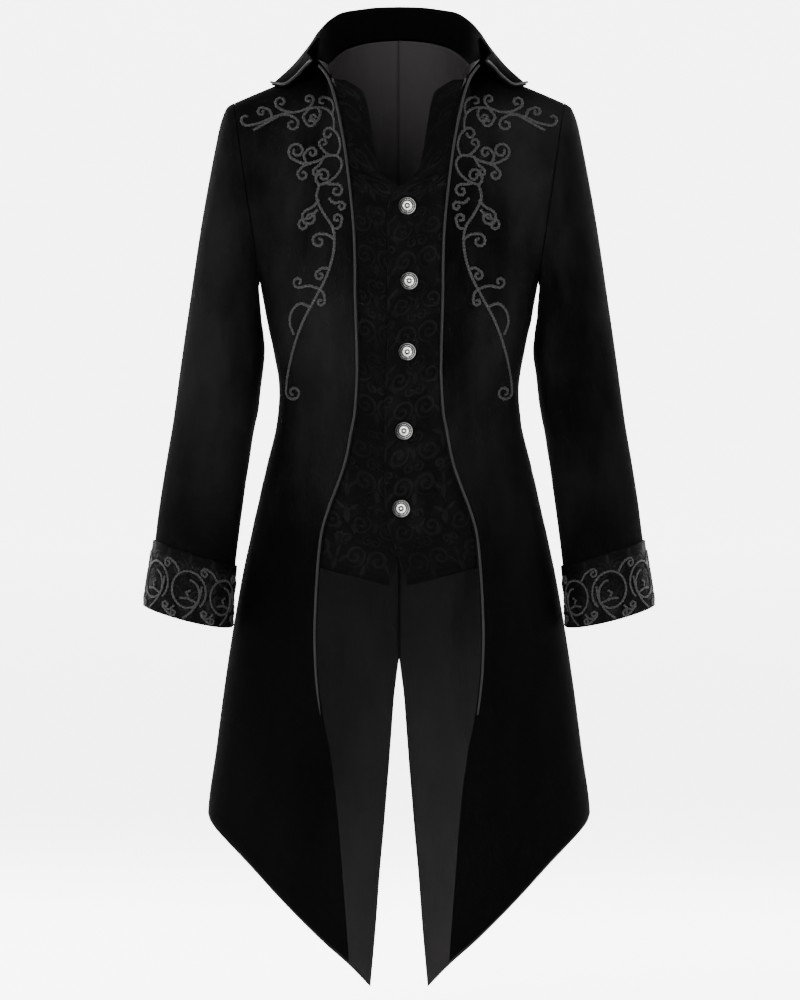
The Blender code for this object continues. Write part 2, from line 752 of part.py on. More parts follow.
def button(name, place, outward, look, collection):
    """A domed button with a raised rim, turned from its profile and set on the waistcoat."""
    corners = [(r * BUTTON_RADIUS * METRES, 0, h * BUTTON_HEIGHT * METRES) for r, h in BUTTON_PROFILE]
    mesh = bpy.data.meshes.new(name)
    mesh.from_pydata(corners, [(i, i + 1) for i in range(len(corners) - 1)], [])
    made = add(name, mesh, look, collection)
    turn = made.modifiers.new("Turn", "SCREW")
    turn.steps = BUTTON_SIDES
    turn.render_steps = BUTTON_SIDES
    turn.use_merge_vertices = True
    turn.merge_threshold = 0.00001
    made.location = Vector((place + outward * SEAM_GAP) * METRES)
    made.rotation_mode = "QUATERNION"
    made.rotation_quaternion = Vector(outward).to_track_quat("Z", "Y")
    return made


def piping_route():
    """Along the front edge from its foot to the peak, lying on the panel."""
    foot = (PIPING_FOOT - front(0.0, 0.0)[2]) / (HIP - front(0.0, 0.0)[2])
    levels = np.array([foot] + [level for level in PANEL_LEVELS if level > foot + 0.05])
    levels[-1] = PIPING_TOP
    return front(PIPING_INSET, levels) + front_normal(PIPING_INSET, levels) * PIPING_LIFT


def collar_piping_route(half):
    """Along the edge of the collar's fall, from one peak round the back to the other."""
    edge, above = half[-1], half[-2]
    outward = vertex_normals(half)[-1]
    outward = outward * np.sign(np.sum(outward * (edge * (1, 1, 0)), axis=-1, keepdims=True))
    route = edge + unit(above - edge) * PIPING_RADIUS + outward * (PIPING_LIFT + PIPING_STAND_OFF)
    route[-1, 0] = 0
    return mirrored(route[None])[0]


def build():
    for old in list(bpy.data.objects):
        bpy.data.objects.remove(old)
    coat = bpy.data.collections.new("tailcoat")
    bpy.context.scene.collection.children.link(coat)

    velvet = material("black_velvet", (0.006, 0.006, 0.007), 0.85, sheen=0.4)
    brocade = material("black_brocade", (0.010, 0.009, 0.010), 0.5)
    satin = material("grey_lining", (0.030, 0.027, 0.029), 0.55)
    braid = material("grey_piping", (0.055, 0.053, 0.056), 0.6)
    metal = material("antique_silver", (0.42, 0.41, 0.40), 0.35, metallic=1.0)

    panel_front = front(np.array(FRONT_ACROSS)[None], PANEL_LEVELS[:, None])
    panel_back = back(np.array(BACK_ACROSS)[None], PANEL_LEVELS[:, None])
    panel_lining = lining_grid(panel_back)
    sleeves = sleeve_grid(SLEEVE_RINGS + (SLEEVE_TO,), 0)
    cuffs = sleeve_grid(CUFF_RINGS, SEAM_GAP + CUFF_WALL)

    for name, side, lap in (("left", 1, "over"), ("right", -1, "under")):
        cloth(f"front_{name}", panel_front, COAT_WALL, velvet, coat, side)
        cloth(f"back_{name}", panel_back, COAT_WALL, velvet, coat, side)
        cloth(f"lining_back_{name}", panel_lining, LINING_WALL, satin, coat, side)
        cloth(f"vest_{name}", vest_grid(lap), VEST_WALL, brocade, coat, side)
        cloth(f"sleeve_{name}", sleeves, COAT_WALL, velvet, coat, side, True, True)
        cloth(f"cuff_{name}", cuffs, CUFF_WALL, brocade, coat, side, True, True)
        route = piping_route() * (side, 1, 1)
        cord(f"piping_{name}", route, PIPING_RADIUS, braid, coat)

    half = collar_half()
    cloth("collar", mirrored(half), COLLAR_WALL, velvet, coat)
    cord("piping_collar", collar_piping_route(half), PIPING_RADIUS, braid, coat)
    for number, (x, z) in enumerate(BUTTONS, start=1):
        place, outward = vest_point(vest_grid("over"), x, z)
        button(f"button_{number}", place, outward, metal, coat)


build()
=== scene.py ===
"""The dressed tailcoat: velvet, brocade, satin and braid over the frame's solids.

The garment's surfaces are the part's own, from the same named values, laid out finer here.
Left and right are the wearer's. Lengths are in millimetres until a mesh is made.
"""

import json
import math

import bpy
import numpy as np
from mathutils import Vector
from mathutils.bvhtree import BVHTree
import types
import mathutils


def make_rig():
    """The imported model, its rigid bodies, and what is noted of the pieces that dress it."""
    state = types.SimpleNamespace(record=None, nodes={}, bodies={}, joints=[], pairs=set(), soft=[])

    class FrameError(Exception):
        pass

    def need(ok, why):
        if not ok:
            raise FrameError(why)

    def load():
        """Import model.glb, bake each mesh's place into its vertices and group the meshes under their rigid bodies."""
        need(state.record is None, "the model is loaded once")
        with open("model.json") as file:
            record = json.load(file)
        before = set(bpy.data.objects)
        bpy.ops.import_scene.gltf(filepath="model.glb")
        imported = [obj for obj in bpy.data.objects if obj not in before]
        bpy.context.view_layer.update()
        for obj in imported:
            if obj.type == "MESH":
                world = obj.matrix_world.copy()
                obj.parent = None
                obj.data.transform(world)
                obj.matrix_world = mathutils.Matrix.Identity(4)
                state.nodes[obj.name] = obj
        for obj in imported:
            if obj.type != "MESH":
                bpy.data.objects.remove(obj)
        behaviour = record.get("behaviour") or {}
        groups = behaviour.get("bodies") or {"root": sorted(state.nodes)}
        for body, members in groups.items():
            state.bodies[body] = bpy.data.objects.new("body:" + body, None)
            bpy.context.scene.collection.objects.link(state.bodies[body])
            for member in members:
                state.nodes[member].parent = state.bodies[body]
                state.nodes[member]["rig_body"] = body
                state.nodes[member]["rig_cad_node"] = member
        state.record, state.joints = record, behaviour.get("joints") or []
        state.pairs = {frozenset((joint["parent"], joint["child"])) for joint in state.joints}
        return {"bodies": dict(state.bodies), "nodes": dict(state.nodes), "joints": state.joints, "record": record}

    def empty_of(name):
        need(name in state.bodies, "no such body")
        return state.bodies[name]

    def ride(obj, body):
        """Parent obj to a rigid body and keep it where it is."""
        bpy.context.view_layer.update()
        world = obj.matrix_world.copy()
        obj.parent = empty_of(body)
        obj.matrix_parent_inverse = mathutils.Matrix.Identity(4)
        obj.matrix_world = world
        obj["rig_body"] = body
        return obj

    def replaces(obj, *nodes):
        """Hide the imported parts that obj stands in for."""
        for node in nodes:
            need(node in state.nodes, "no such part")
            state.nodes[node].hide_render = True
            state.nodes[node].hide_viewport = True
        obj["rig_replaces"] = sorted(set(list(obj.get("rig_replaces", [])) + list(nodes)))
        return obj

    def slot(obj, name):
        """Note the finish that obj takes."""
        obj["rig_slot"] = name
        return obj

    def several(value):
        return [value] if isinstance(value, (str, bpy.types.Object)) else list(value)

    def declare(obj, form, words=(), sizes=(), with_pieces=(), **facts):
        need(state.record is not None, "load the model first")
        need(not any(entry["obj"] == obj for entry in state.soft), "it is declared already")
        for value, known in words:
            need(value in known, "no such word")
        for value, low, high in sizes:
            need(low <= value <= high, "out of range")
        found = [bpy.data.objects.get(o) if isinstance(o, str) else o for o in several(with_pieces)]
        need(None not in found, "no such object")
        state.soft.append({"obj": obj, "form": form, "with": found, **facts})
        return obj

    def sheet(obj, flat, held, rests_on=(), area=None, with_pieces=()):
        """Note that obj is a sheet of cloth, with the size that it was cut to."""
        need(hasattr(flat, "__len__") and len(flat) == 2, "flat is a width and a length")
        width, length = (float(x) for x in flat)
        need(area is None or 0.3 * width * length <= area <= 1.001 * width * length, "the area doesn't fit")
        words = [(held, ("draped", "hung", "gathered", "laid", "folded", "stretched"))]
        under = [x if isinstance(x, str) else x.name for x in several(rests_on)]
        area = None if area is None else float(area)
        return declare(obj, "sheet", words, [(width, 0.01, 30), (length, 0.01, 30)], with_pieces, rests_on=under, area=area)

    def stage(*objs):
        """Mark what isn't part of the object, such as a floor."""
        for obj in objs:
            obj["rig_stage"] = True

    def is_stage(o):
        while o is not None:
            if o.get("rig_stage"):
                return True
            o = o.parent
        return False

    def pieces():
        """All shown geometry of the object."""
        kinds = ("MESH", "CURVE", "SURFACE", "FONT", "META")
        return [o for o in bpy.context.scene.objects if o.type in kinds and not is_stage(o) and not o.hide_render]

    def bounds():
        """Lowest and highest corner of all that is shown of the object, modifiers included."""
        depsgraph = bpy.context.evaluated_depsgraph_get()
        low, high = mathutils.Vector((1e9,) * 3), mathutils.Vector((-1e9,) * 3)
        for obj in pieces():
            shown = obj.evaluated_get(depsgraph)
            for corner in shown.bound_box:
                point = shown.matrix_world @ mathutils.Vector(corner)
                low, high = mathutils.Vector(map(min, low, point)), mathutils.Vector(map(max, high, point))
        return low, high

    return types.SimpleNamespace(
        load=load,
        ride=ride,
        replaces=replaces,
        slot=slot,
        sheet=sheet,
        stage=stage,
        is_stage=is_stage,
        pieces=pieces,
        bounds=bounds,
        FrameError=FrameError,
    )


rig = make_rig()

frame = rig.load()
cad_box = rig.bounds()

METRES = 0.001

# Cloth thicknesses and the gap that every seam keeps.
COAT_WALL = 2.0
LINING_WALL = 1.0
VEST_WALL = 1.5
COLLAR_WALL = 1.8
CUFF_WALL = 2.2
SEAM_GAP = 0.3

# Heights of the lines that the panels are laid out on.
CHEST = -290.0
HIP = -640.0

# The coat's outer oval at each height, with its depth before and behind the side seam.
# Squareness is the power of the oval: 2 is an ellipse.
BODY_COLUMNS = ("z", "half_width", "front", "back", "squareness")
BODY = (
    (-1140, 241, 130, 158, 2.0),
    (-1000, 240, 130, 156, 2.0),
    (-908, 237, 128, 153, 2.0),
    (-833, 227, 126, 149, 2.0),
    (-771, 219, 124, 144, 2.0),
    (-715, 211, 122, 139, 2.0),
    (-660, 202, 120, 134, 2.0),
    (-610, 193, 117, 128, 2.02),
    (-560, 182, 114, 121, 2.05),
    (-498, 168, 109, 111, 2.1),
    (-461, 159, 106, 104, 2.15),
    (-424, 151, 104, 98, 2.2),
    (-386, 148.5, 105, 96, 2.3),
    (-337, 156, 110, 99, 2.42),
    (-290, 166, 114, 103, 2.5),
)

# Distance of the front edge from the centre, from the tip of the tail up to the neck.
EDGE_COLUMNS = ("z", "x")
EDGE = (
    (-1130, 58),
    (-1094, 61),
    (-986, 69),
    (-900, 76),
    (-833, 84),
    (-786, 93),
    (-730, 99.5),
    (-687, 101),
    (-640, 99.5),
    (-599, 97),
    (-563, 93),
    (-531, 84),
    (-505, 74),
    (-472, 63),
    (-435, 56),
    (-413, 52),
    (-357, 49),
    (-268, 51),
    (-201, 53),
    (-145, 58),
    (-89, 65),
    (-27, 77),
    (0, 86),
    (21, 102),
)

# Distance of the vent's edge from the centre.
VENT_COLUMNS = ("z", "x")
VENT = (
    (-1140, 36.5),
    (-1069, 30),
    (-1019, 26),
    (-945, 20),
    (-895, 16),
    (-833, 10.5),
    (-771, 6),
    (-715, 0.4),
    (-290, 0.4),
)

# Height of the slanted hem at each distance from the centre. Its tilt raises it towards the
# front, by this share of the distance before the side seam.
HEM_TILT = 0.085
HEM_COLUMNS = ("x", "z")
HEM = (
    (30, -1131),
    (61, -1099),
    (97, -1067),
    (145, -1019),
    (191, -969),
    (214, -945),
    (226, -932),
    (234, -921),
    (237, -912),
    (242, -904),
)

# The sleeve joins here: the shoulder tip, the underarm and the armhole's half depth.
SHOULDER_TIP = (204.0, 0.0, -31.0)
UNDERARM = (172.0, 0.0, -255.0)
ARMHOLE_DEPTH = 62.0
ARMHOLE_END = 0.9994
TIP_GAP = 0.7
ARMHOLE_CUT = 0.65

# Where the front columns end: along the neck from the peak, then along the shoulder seam.
# Bend is how far each column rounds over, from 0, straight, to 1, level at its end.
TOP_COLUMNS = ("across", "x", "y", "z", "bend")
FRONT_TOP = (
    (-1.0, 0, -62, 21, 0.6),
    (0.0, 102, -48, 21, 0.6),
    (0.08, 98, -34, 19.5, 0.74),
    (0.16, 94, -18, 18, 0.88),
    (0.24, 91, 0, 16, 0.96),
    (0.36, 106, 0, 9, 0.985),
    (0.5, 128, 0, 0.5, 0.99),
    (0.75, 168, 0, -15.5, 0.99),
    (1.0, 204, 0, -31, 0.99),
)
BACK_TOP = (
    (0.0, 204, 0, -31, 0.99),
    (0.25, 168, 0, -15.5, 0.99),
    (0.48, 128, 0, 0.5, 0.99),
    (0.62, 91, 0, 16, 0.99),
    (0.72, 85, 28, 23, 0.95),
    (0.82, 65, 56, 38, 0.85),
    (0.91, 34, 74, 46.5, 0.75),
    (1.0, 0.4, 80, 49, 0.7),
    (1.09, -34, 74, 46.5, 0.75),
)

# Rings of the sleeve from the armhole to the hem: its outer and inner lines seen from the
# front, its half depth, where its middle lies, and how far its front edge drops.
SLEEVE_COLUMNS = ("ring", "top_x", "top_z", "under_x", "under_z", "depth", "y", "drop")
SLEEVE = (
    (0, 204.7, -31, 172.5, -255, 62, 0, 0),
    (1, 212.5, -36, 173.6, -258, 63.5, 0, 0),
    (2, 220.5, -54, 173.4, -263, 65, 0, 0),
    (3, 228, -88, 172.8, -270, 66, 0, 0),
    (4, 236, -130, 172, -279, 66.5, 0, 0),
    (5, 244, -175, 171, -290, 66.5, 1, 0),
    (6, 251, -220, 169.5, -303, 66, 2, 0),
    (7, 258, -268, 167.5, -320, 65, 3, 0),
    (8, 264.5, -312, 166, -340, 64, 4, 0),
    (9, 272, -365, 172, -392, 61.5, 5, 0),
    (10, 280, -424, 181, -450, 59, 4, 0),
    (11, 290, -484, 190, -510, 56.5, -4, 0),
    (12, 298, -538, 198, -566, 54.5, -16, 0),
    (13, 302, -572, 202.5, -604, 53, -24, 1),
    (14, 308, -612, 206, -641, 51.5, -32, 3),
    (15, 314, -650, 208, -677, 50, -39, 6),
    (16, 320, -689, 210, -714, 48.5, -46, 7),
)
CUFF_FROM = 13.0
CUFF_TO = 15.04
SLEEVE_TO = 14.96

# Soft folds pressed into the sleeves: where each lies, its reach along and round, its depth.
# Columns: ring, turn, along, round, depth, lean.
SLEEVE_FOLDS = (
    (9.6, 1.3, 0.55, 0.75, 3.4, 0.5),
    (10.6, 0.9, 0.5, 0.7, 3.0, 0.6),
    (11.5, 5.3, 0.6, 0.8, 2.6, -0.5),
    (8.3, 4.7, 0.7, 0.6, 2.4, -0.6),
    (4.6, 1.2, 0.9, 0.4, 2.4, 0.2),
)

# Long flutes of the skirt, by angle from centre front in degrees.
# Columns: angle, width, depth.
FLUTES = (
    (34, 9, 5.0),
    (58, 8, -4.0),
    (112, 10, -6.0),
    (133, 9, 8.0),
    (154, 9, -6.5),
)
FLUTE_START = -520.0
FLUTE_FULL = -930.0

# The folded collar from its front end to the middle of the back: its top fold, the edge of
# its fall on the shoulder, and how far the fall hollows between them.
COLLAR_COLUMNS = (
    "along", "fold_x", "fold_y", "fold_z", "edge_x", "edge_y", "edge_z", "hollow"
)
COLLAR = (
    (0.0, 100, -45, 49, 103.4, -50.6, 21.5, 0),
    (0.133, 101.5, -31, 52, 114.5, -36, 12, 0),
    (0.267, 100, -15, 56, 127, -29, -1, 0),
    (0.4, 97, 1, 60.5, 143, -22, -11, 0),
    (0.495, 92, 19, 67, 157, 0, -11, 3),
    (0.589, 83, 35, 75.5, 141, 24, -9, 4),
    (0.684, 70, 51, 83, 108, 44, -3, 3),
    (0.795, 49, 65, 87, 82, 68, 6, 0),
    (0.897, 26, 74, 90, 46, 86, 16, 0),
    (1.0, 0, 77, 90.7, 0, 92.5, 21, 0),
)
COLLAR_RIDGE = 0.4
FRONT_NECK = 0.24
BACK_NECK = 0.62
COLLAR_CLEARANCE = 1.6
COLLAR_RISE = 1.5
FALL_ROW = 5
FOLD_HALF = 2.6
FOLD_FALL = 2.2

# The waistcoat's free edge: distance from the centre at each height, over the closure
# where it is negative, then out along the neckline.
VEST_EDGE_COLUMNS = ("z", "over", "under")
VEST_EDGE = (
    (-627, 11, 13),
    (-606, -1, 0),
    (-574, -10, -8),
    (-552, -16, -10),
    (-500, -19, -10),
    (-424, -19, -10),
    (-312, -15, -10),
    (-165, -15, -9),
    (-150, -12, -7),
    (-134, 1, 1),
    (-124, 14, 14),
    (-109, 26, 26),
    (-60, 35, 35),
    (-18, 44, 44),
    (-8, 56, 56),
    (8, 88, 88),
)

# Button centres on the waistcoat, as x and z seen from the front.
BUTTONS = (
    (10, -160),
    (12.4, -252),
    (10, -338.5),
    (6, -436.5),
    (2.5, -532),
)
BUTTON_RADIUS = 11.0
BUTTON_HEIGHT = 6.2

# The corded edge. The collar's stands off a little more, because its fall curves away.
PIPING_RADIUS = 1.6
PIPING_LIFT = PIPING_RADIUS + SEAM_GAP
PIPING_STAND_OFF = 0.65
PIPING_FOOT = -786.0
PIPING_INSET = 0.012
PIPING_TOP = 2.98

# Columns and rows of every panel's grid. Layers share them, so that they stay parallel.
FRONT_ACROSS = (0, 0.08, 0.16, 0.24, 0.36, 0.49, 0.62, 0.74, 0.84, 0.93, 0.9985)
BACK_ACROSS = (0.001, 0.06, 0.16, 0.3, 0.46, 0.62, 0.68, 0.74, 0.8, 0.87, 0.935, 1)
SKIRT_LEVELS = np.arange(6) / 6
BODY_HEIGHTS = (-640, -595, -550, -505, -460, -420, -380, -340, -290)
BODY_LEVELS = 1 + (np.array(BODY_HEIGHTS) - HIP) / (CHEST - HIP)
ARM_BEND = np.arcsin(FRONT_TOP[-1][4])
UNDERARM_RISE = (UNDERARM[2] - CHEST) / (SHOULDER_TIP[2] - CHEST)
UNDERARM_LEVEL = 2 + np.arcsin(np.sin(ARM_BEND) * UNDERARM_RISE) / ARM_BEND
ARMHOLE_STEPS = np.array((0, 0.05, 0.13, 0.24, 0.36, 0.48, 0.6, 0.72, 0.83, 0.91, 0.965, 1))
TOP_LEVEL = 2.9975
UPPER_LEVELS = UNDERARM_LEVEL + (TOP_LEVEL - UNDERARM_LEVEL) * ARMHOLE_STEPS
PANEL_LEVELS = np.concatenate([SKIRT_LEVELS, BODY_LEVELS, UPPER_LEVELS])

# Rings of the sleeve's and the cuff's grids.
SLEEVE_RINGS = (0, 1, 2, 3, 4.2, 5.6, 7, 8.2, 9, 9.6, 10.3, 11, 11.7, 12.4, CUFF_FROM, 13.7, 14.4)
CUFF_RINGS = (CUFF_FROM, 13.7, 14.4, CUFF_TO)

# How far each layer's outer face lies inside the coat's outer face.
LINING_DEPTH = COAT_WALL + SEAM_GAP
LINING_STOP = 0.7
VEST_DEPTH = COAT_WALL + 1.2
VEST_RECESS = 4.5
UNDER_LAP = VEST_WALL + 0.6

# Rows and columns of a waistcoat front.
VEST_SHARES = (0, 0.2, 0.4, 0.6, 0.8)
VEST_ACROSS = (0, 0.08, 0.16, 0.24, 0.36, 0.49)
VEST_TOP_LEVEL = UPPER_LEVELS[-3]
VEST_HEM = -605.0
VEST_POINT = -626.0
VEST_HEM_ROW = 20.0
VEST_NECK_ROWS = (-137.0, -127.0)

# Finer rows and columns of each piece: every step of the part's grid is cut into this many.
PANEL_PARTS = 6
VEST_PARTS = 9
SLEEVE_PARTS = 5
COLLAR_PARTS = 6

# Creases pressed into the panels. Each row gives the side (1 left, -1 right, 0 both), the two ends
# as x and z seen from the front, then width and height. A negative height is a trough.
FRONT_CREASES = (
    (0, 168, -262, 112, -214, 9, 1.5),
    (0, 171, -284, 120, -252, 8, -1.3),
    (1, 166, -306, 128, -292, 7, 1.1),
    (-1, 162, -318, 118, -300, 8, 1.2),
    (0, 147, -372, 104, -384, 8, 1.4),
    (0, 149, -398, 98, -405, 7, -1.2),
    (1, 152, -420, 112, -436, 7, 1.2),
    (-1, 153, -428, 106, -441, 8, 1.1),
    (0, 166, -500, 128, -560, 12, 1.5),
    (1, 176, -560, 150, -690, 13, 1.8),
    (-1, 174, -545, 141, -668, 12, 1.7),
    (0, 128, -640, 134, -960, 16, 2.4),
    (0, 176, -700, 184, -980, 15, -2.6),
    (1, 104, -760, 98, -1040, 10, 1.6),
    (-1, 110, -740, 103, -1010, 11, 1.7),
    (0, 200, -80, 178, -190, 8, 1.2),
    (1, 196, -120, 168, -238, 7, -1.0),
    (-1, 190, -110, 172, -214, 7, -1.1),
)
BACK_CREASES = (
    (0, 168, -262, 104, -226, 10, 1.6),
    (0, 166, -292, 96, -276, 9, -1.4),
    (1, 150, -366, 36, -384, 9, 1.5),
    (-1, 148, -380, 28, -398, 9, 1.6),
    (1, 146, -404, 58, -412, 8, -1.3),
    (-1, 150, -352, 66, -362, 8, 1.2),
    (0, 160, -470, 108, -560, 13, 1.8),
    (0, 96, -560, 104, -900, 17, 2.4),
    (1, 150, -620, 172, -960, 15, -2.8),
    (-1, 154, -600, 168, -940, 16, -2.5),
    (0, 46, -720, 58, -1060, 12, 2.0),
    (0, 198, -84, 176, -196, 9, 1.2),
    (1, 60, -90, 92, -200, 12, 1.2),
    (-1, 66, -110, 88, -214, 12, 1.0),
)

# More folds of each sleeve: ring, turn, reach along, reach round, depth, lean.
FINE_SLEEVE_FOLDS = {
    1: (
        (9.0, 1.1, 0.22, 0.8, 2.0, 0.35),
        (9.9, 1.6, 0.2, 0.7, -1.6, 0.45),
        (10.2, 0.6, 0.24, 0.6, 1.8, 0.5),
        (11.0, 1.3, 0.25, 0.7, 1.5, 0.6),
        (8.9, 5.6, 0.3, 0.6, 2.0, -0.5),
        (9.9, 5.2, 0.28, 0.7, -1.6, -0.6),
        (10.9, 5.5, 0.3, 0.8, 1.6, -0.5),
        (7.4, 0.6, 0.5, 0.35, 1.6, 0.3),
        (2.4, 1.3, 1.1, 0.25, 1.8, 0.1),
        (3.4, 2.0, 1.2, 0.25, -1.2, 0.1),
        (2.6, 4.9, 1.2, 0.25, 1.6, -0.1),
        (5.9, 0.4, 0.5, 0.5, 1.6, 0.6),
        (12.1, 2.2, 0.35, 0.7, 1.4, 0.2),
    ),
    -1: (
        (9.2, 1.2, 0.24, 0.7, 1.9, 0.4),
        (9.7, 0.7, 0.2, 0.7, -1.5, 0.4),
        (10.5, 1.5, 0.24, 0.7, 1.7, 0.5),
        (11.3, 0.8, 0.25, 0.6, 1.5, 0.6),
        (8.6, 5.3, 0.3, 0.7, 1.9, -0.5),
        (9.6, 5.6, 0.3, 0.6, -1.7, -0.5),
        (10.6, 5.1, 0.3, 0.8, 1.7, -0.6),
        (7.0, 0.8, 0.5, 0.35, 1.7, 0.3),
        (2.8, 1.1, 1.1, 0.25, 1.7, 0.1),
        (3.8, 1.8, 1.2, 0.25, -1.3, 0.1),
        (2.2, 5.1, 1.2, 0.25, 1.6, -0.1),
        (6.3, 0.5, 0.5, 0.5, 1.5, 0.6),
        (12.3, 1.6, 0.35, 0.7, 1.3, 0.2),
    ),
}

# The cuff is cut finer than the rest, because its braid is laid on its rows.
CUFF_PARTS = 14

# The centre back seam: how near the middle it counts as sewn, and half its gap. The lining laps.
SEAM_REACH = 1.0
SEAM_HALF = 0.03
LINING_LAP = -0.15

# Rings of a sleeve between which its small folds fade in, and out.
CALM_TOP = (0.2, 1.2)
CALM_CUFF = (12.4, 12.9)

# The button's grid, how many petals and beads are cast round it, and how dark its rim is.
BUTTON_RINGS = 44
BUTTON_SIDES = 144
PETALS = 8
BEADS = 24
RIM_DARKENING = 0.35

# Creases of the waistcoat fronts, with the coat's columns. They stay low, under the coat.
VEST_CREASES = (
    (0, 46, -190, 20, -240, 9, 0.8),
    (0, 48, -300, 14, -330, 8, 0.9),
    (1, 50, -400, 16, -420, 7, 0.8),
    (-1, 49, -388, 18, -412, 8, 0.9),
    (0, 50, -440, 18, -470, 8, -0.8),
    (0, 62, -500, 28, -540, 9, 0.9),
    (0, 30, -96, 44, -170, 8, 0.7),
)

# Stitched scrollwork of a chest, for the wearer's left: points as x and z seen from the front,
# then the curl at the end of each stroke as its radius, its turns and its hand. The stem, the
# shoulder branch and several curls lie on the photo's own lines, so this isn't a layout of the
# builder's own and has to be laid out anew.
VINES = (
    (((98, -134), (101, -150), (93, -168), (81, -188), (80, -214), (88, -244), (102, -272),
      (118, -302), (130, -336), (137, -368), (139, -388)), (9.5, 1.25, -1)),
    (((98, -152), (105, -160), (114, -165)), (10, 1.15, -1)),
    (((80, -200), (88, -195), (97, -194)), (9, 1.0, -1)),
    (((97, -262), (110, -258), (122, -260)), (7, 0.95, 1)),
    (((108, -284), (122, -280), (132, -290), (134, -304), (129, -318)), None),
    (((88, -98), (102, -105), (118, -107), (130, -102)), (11, 1.3, 1)),
    (((98, -134), (85, -129), (74, -119), (70, -107), (76, -98), (88, -98)), None),
    (((98, -134), (102, -128), (101, -121)), (8.5, 1.1, 1)),
    (((108, -107), (117, -110), (123, -116)), (7, 1.0, -1)),
    (((90, -131), (84, -133), (77, -133)), (8, 1.0, 1)),
    (((76, -98), (72, -87), (74, -74), (80, -66)), (8, 0.95, -1)),
    (((84, -98), (91, -93), (97, -86)), (6, 0.9, 1)),
    (((80, -66), (80, -53), (85, -43), (96, -38), (110, -39), (124, -43), (140, -45),
      (156, -50), (172, -57), (186, -60)), (8.5, 0.62, 1)),
    (((148, -48), (164, -57), (180, -66)), None),
    (((130, -44), (141, -42), (149, -38)), (7.5, 1.0, 1)),
    (((146, -47), (136, -47), (128, -51)), (8.5, 1.0, 1)),
    (((118, -41), (110, -37), (106, -31)), (6, 1.0, -1)),
    (((100, -38), (97, -45), (99, -52)), (6, 1.0, 1)),
    (((82, -48), (80, -37), (84, -28), (92, -25)), (5.5, 0.7, -1)),
    (((97, -262), (92, -268), (91, -277)), (5, 0.9, 1)),
    (((81, -188), (73, -186), (70, -177)), (6, 0.95, -1)),
    (((100, -164), (109, -174), (118, -176)), (7, 1.0, -1)),
    (((114, -107), (117, -97), (112, -90)), (6.5, 1.0, 1)),
    (((92, -98), (97, -108), (104, -114)), (5.5, 1.0, -1)),
    (((84, -238), (93, -236), (100, -240)), (6, 1.0, -1)),
    (((156, -50), (160, -41), (168, -38)), (5.5, 0.95, -1)),
    (((110, -39), (118, -49), (114, -58)), (6.5, 1.0, -1)),
    (((86, -150), (80, -156), (72, -155)), (5.5, 0.95, 1)),
)

# A curl's radius at its heart, as a share of the radius that it starts with, and the braid's step.
CURL_CORE = 0.3
CORD_STEP = 1.1

# Braid of a cuff: a row of rings that wind in to a hook, each with a tail, leaves inside it and
# small curls between it and the next. Places are from a ring's middle, in its own size. The
# ring's size and place were read from the photo, and its strokes set to look like it.
RINGS = 7
RING_RADIUS = 21.5
RING_MIDDLE = 0.53
RING_CLOSED = 0.8
RING_TURNS = 1.4
RING_TAIL = ((-0.72, -0.4), (-0.62, 0.35), (-0.25, 1.1), (0.2, 1.62))
RING_LEAVES = (
    ((-0.5, 0.55), (0.0, 0.42), (0.5, 0.5)),
    ((-0.1, -0.05), (0.12, 0.12), (0.0, 0.3)),
)
RING_WINDING = 0.8
RING_DRIFT = 0.35
RING_START = 135
CUFF_SHIFT = 0.04
RING_CURLS = (
    (((0.75, 1.0), (1.0, 1.3), (1.25, 1.35)), (0.24, 1.1, -1)),
    (((1.5, 1.0), (1.25, 1.4), (0.9, 1.6)), (0.2, 1.0, 1)),
    (((0.66, -0.85), (1.0, -1.2), (1.4, -1.34)), (0.25, 1.1, 1)),
)

# Braid: the length of a twist, the depth of its beads and how far its middle stands off the cloth,
# then its half width and half height on the chest and on a cuff.
BRAID_TWIST = 4.2
BRAID_BEAD = 0.26
BRAID_LIFT = 0.5
CHEST_BRAID = (1.75, 1.05)
CUFF_BRAID = (1.3, 0.85)

# The piping's cord: the step and pitch of its twist, the places along a front's route, and how far
# below the collar's edge the line lies that its outer side faces away from.
ROPE_STEP = 0.8
ROPE_PITCH = 6.5
ROPE_PLACES = 260
ROPE_CORE_DROP = 12

# The brocade's repeat, mirrored at its edges: curls as centre, radius, turns, hand and line
# width, then leaves as centre, half lengths and tilt. All are shares of the repeat's width.
REPEAT_CURLS = (
    ((0.30, 0.34), 0.2, 1.7, 1, 0.034),
    ((0.25, 0.88), 0.17, 1.5, -1, 0.032),
    ((0.43, 0.64), 0.1, 1.2, 1, 0.028),
    ((0.08, 0.60), 0.11, 1.2, -1, 0.028),
    ((0.45, 1.12), 0.11, 1.2, -1, 0.028),
)
REPEAT_LEAVES = (
    ((0.0, 0.14), (0.13, 0.05), 1.57),
    ((0.0, 0.36), (0.10, 0.04), 1.57),
    ((0.11, 0.26), (0.11, 0.035), 0.9),
    ((0.13, 0.78), (0.11, 0.035), 2.2),
    ((0.0, 0.98), (0.15, 0.06), 1.57),
    ((0.10, 1.12), (0.12, 0.035), 0.6),
    ((0.5, 0.14), (0.12, 0.045), 1.57),
    ((0.5, 0.86), (0.12, 0.045), 1.57),
    ((0.40, 0.96), (0.10, 0.03), 2.4),
)
REPEAT_HEIGHT = 1.25

# Width of the jacquard's repeat in metres, then the tones of its ground and its figure.
VEST_JACQUARD = (0.074, (0.0002, 0.0002, 0.0002), (0.0013, 0.0012, 0.0012))
CUFF_JACQUARD = (0.06, (0.0003, 0.0003, 0.0003), (0.0024, 0.0023, 0.0023))
FIGURE_ROUGHNESS = 0.42

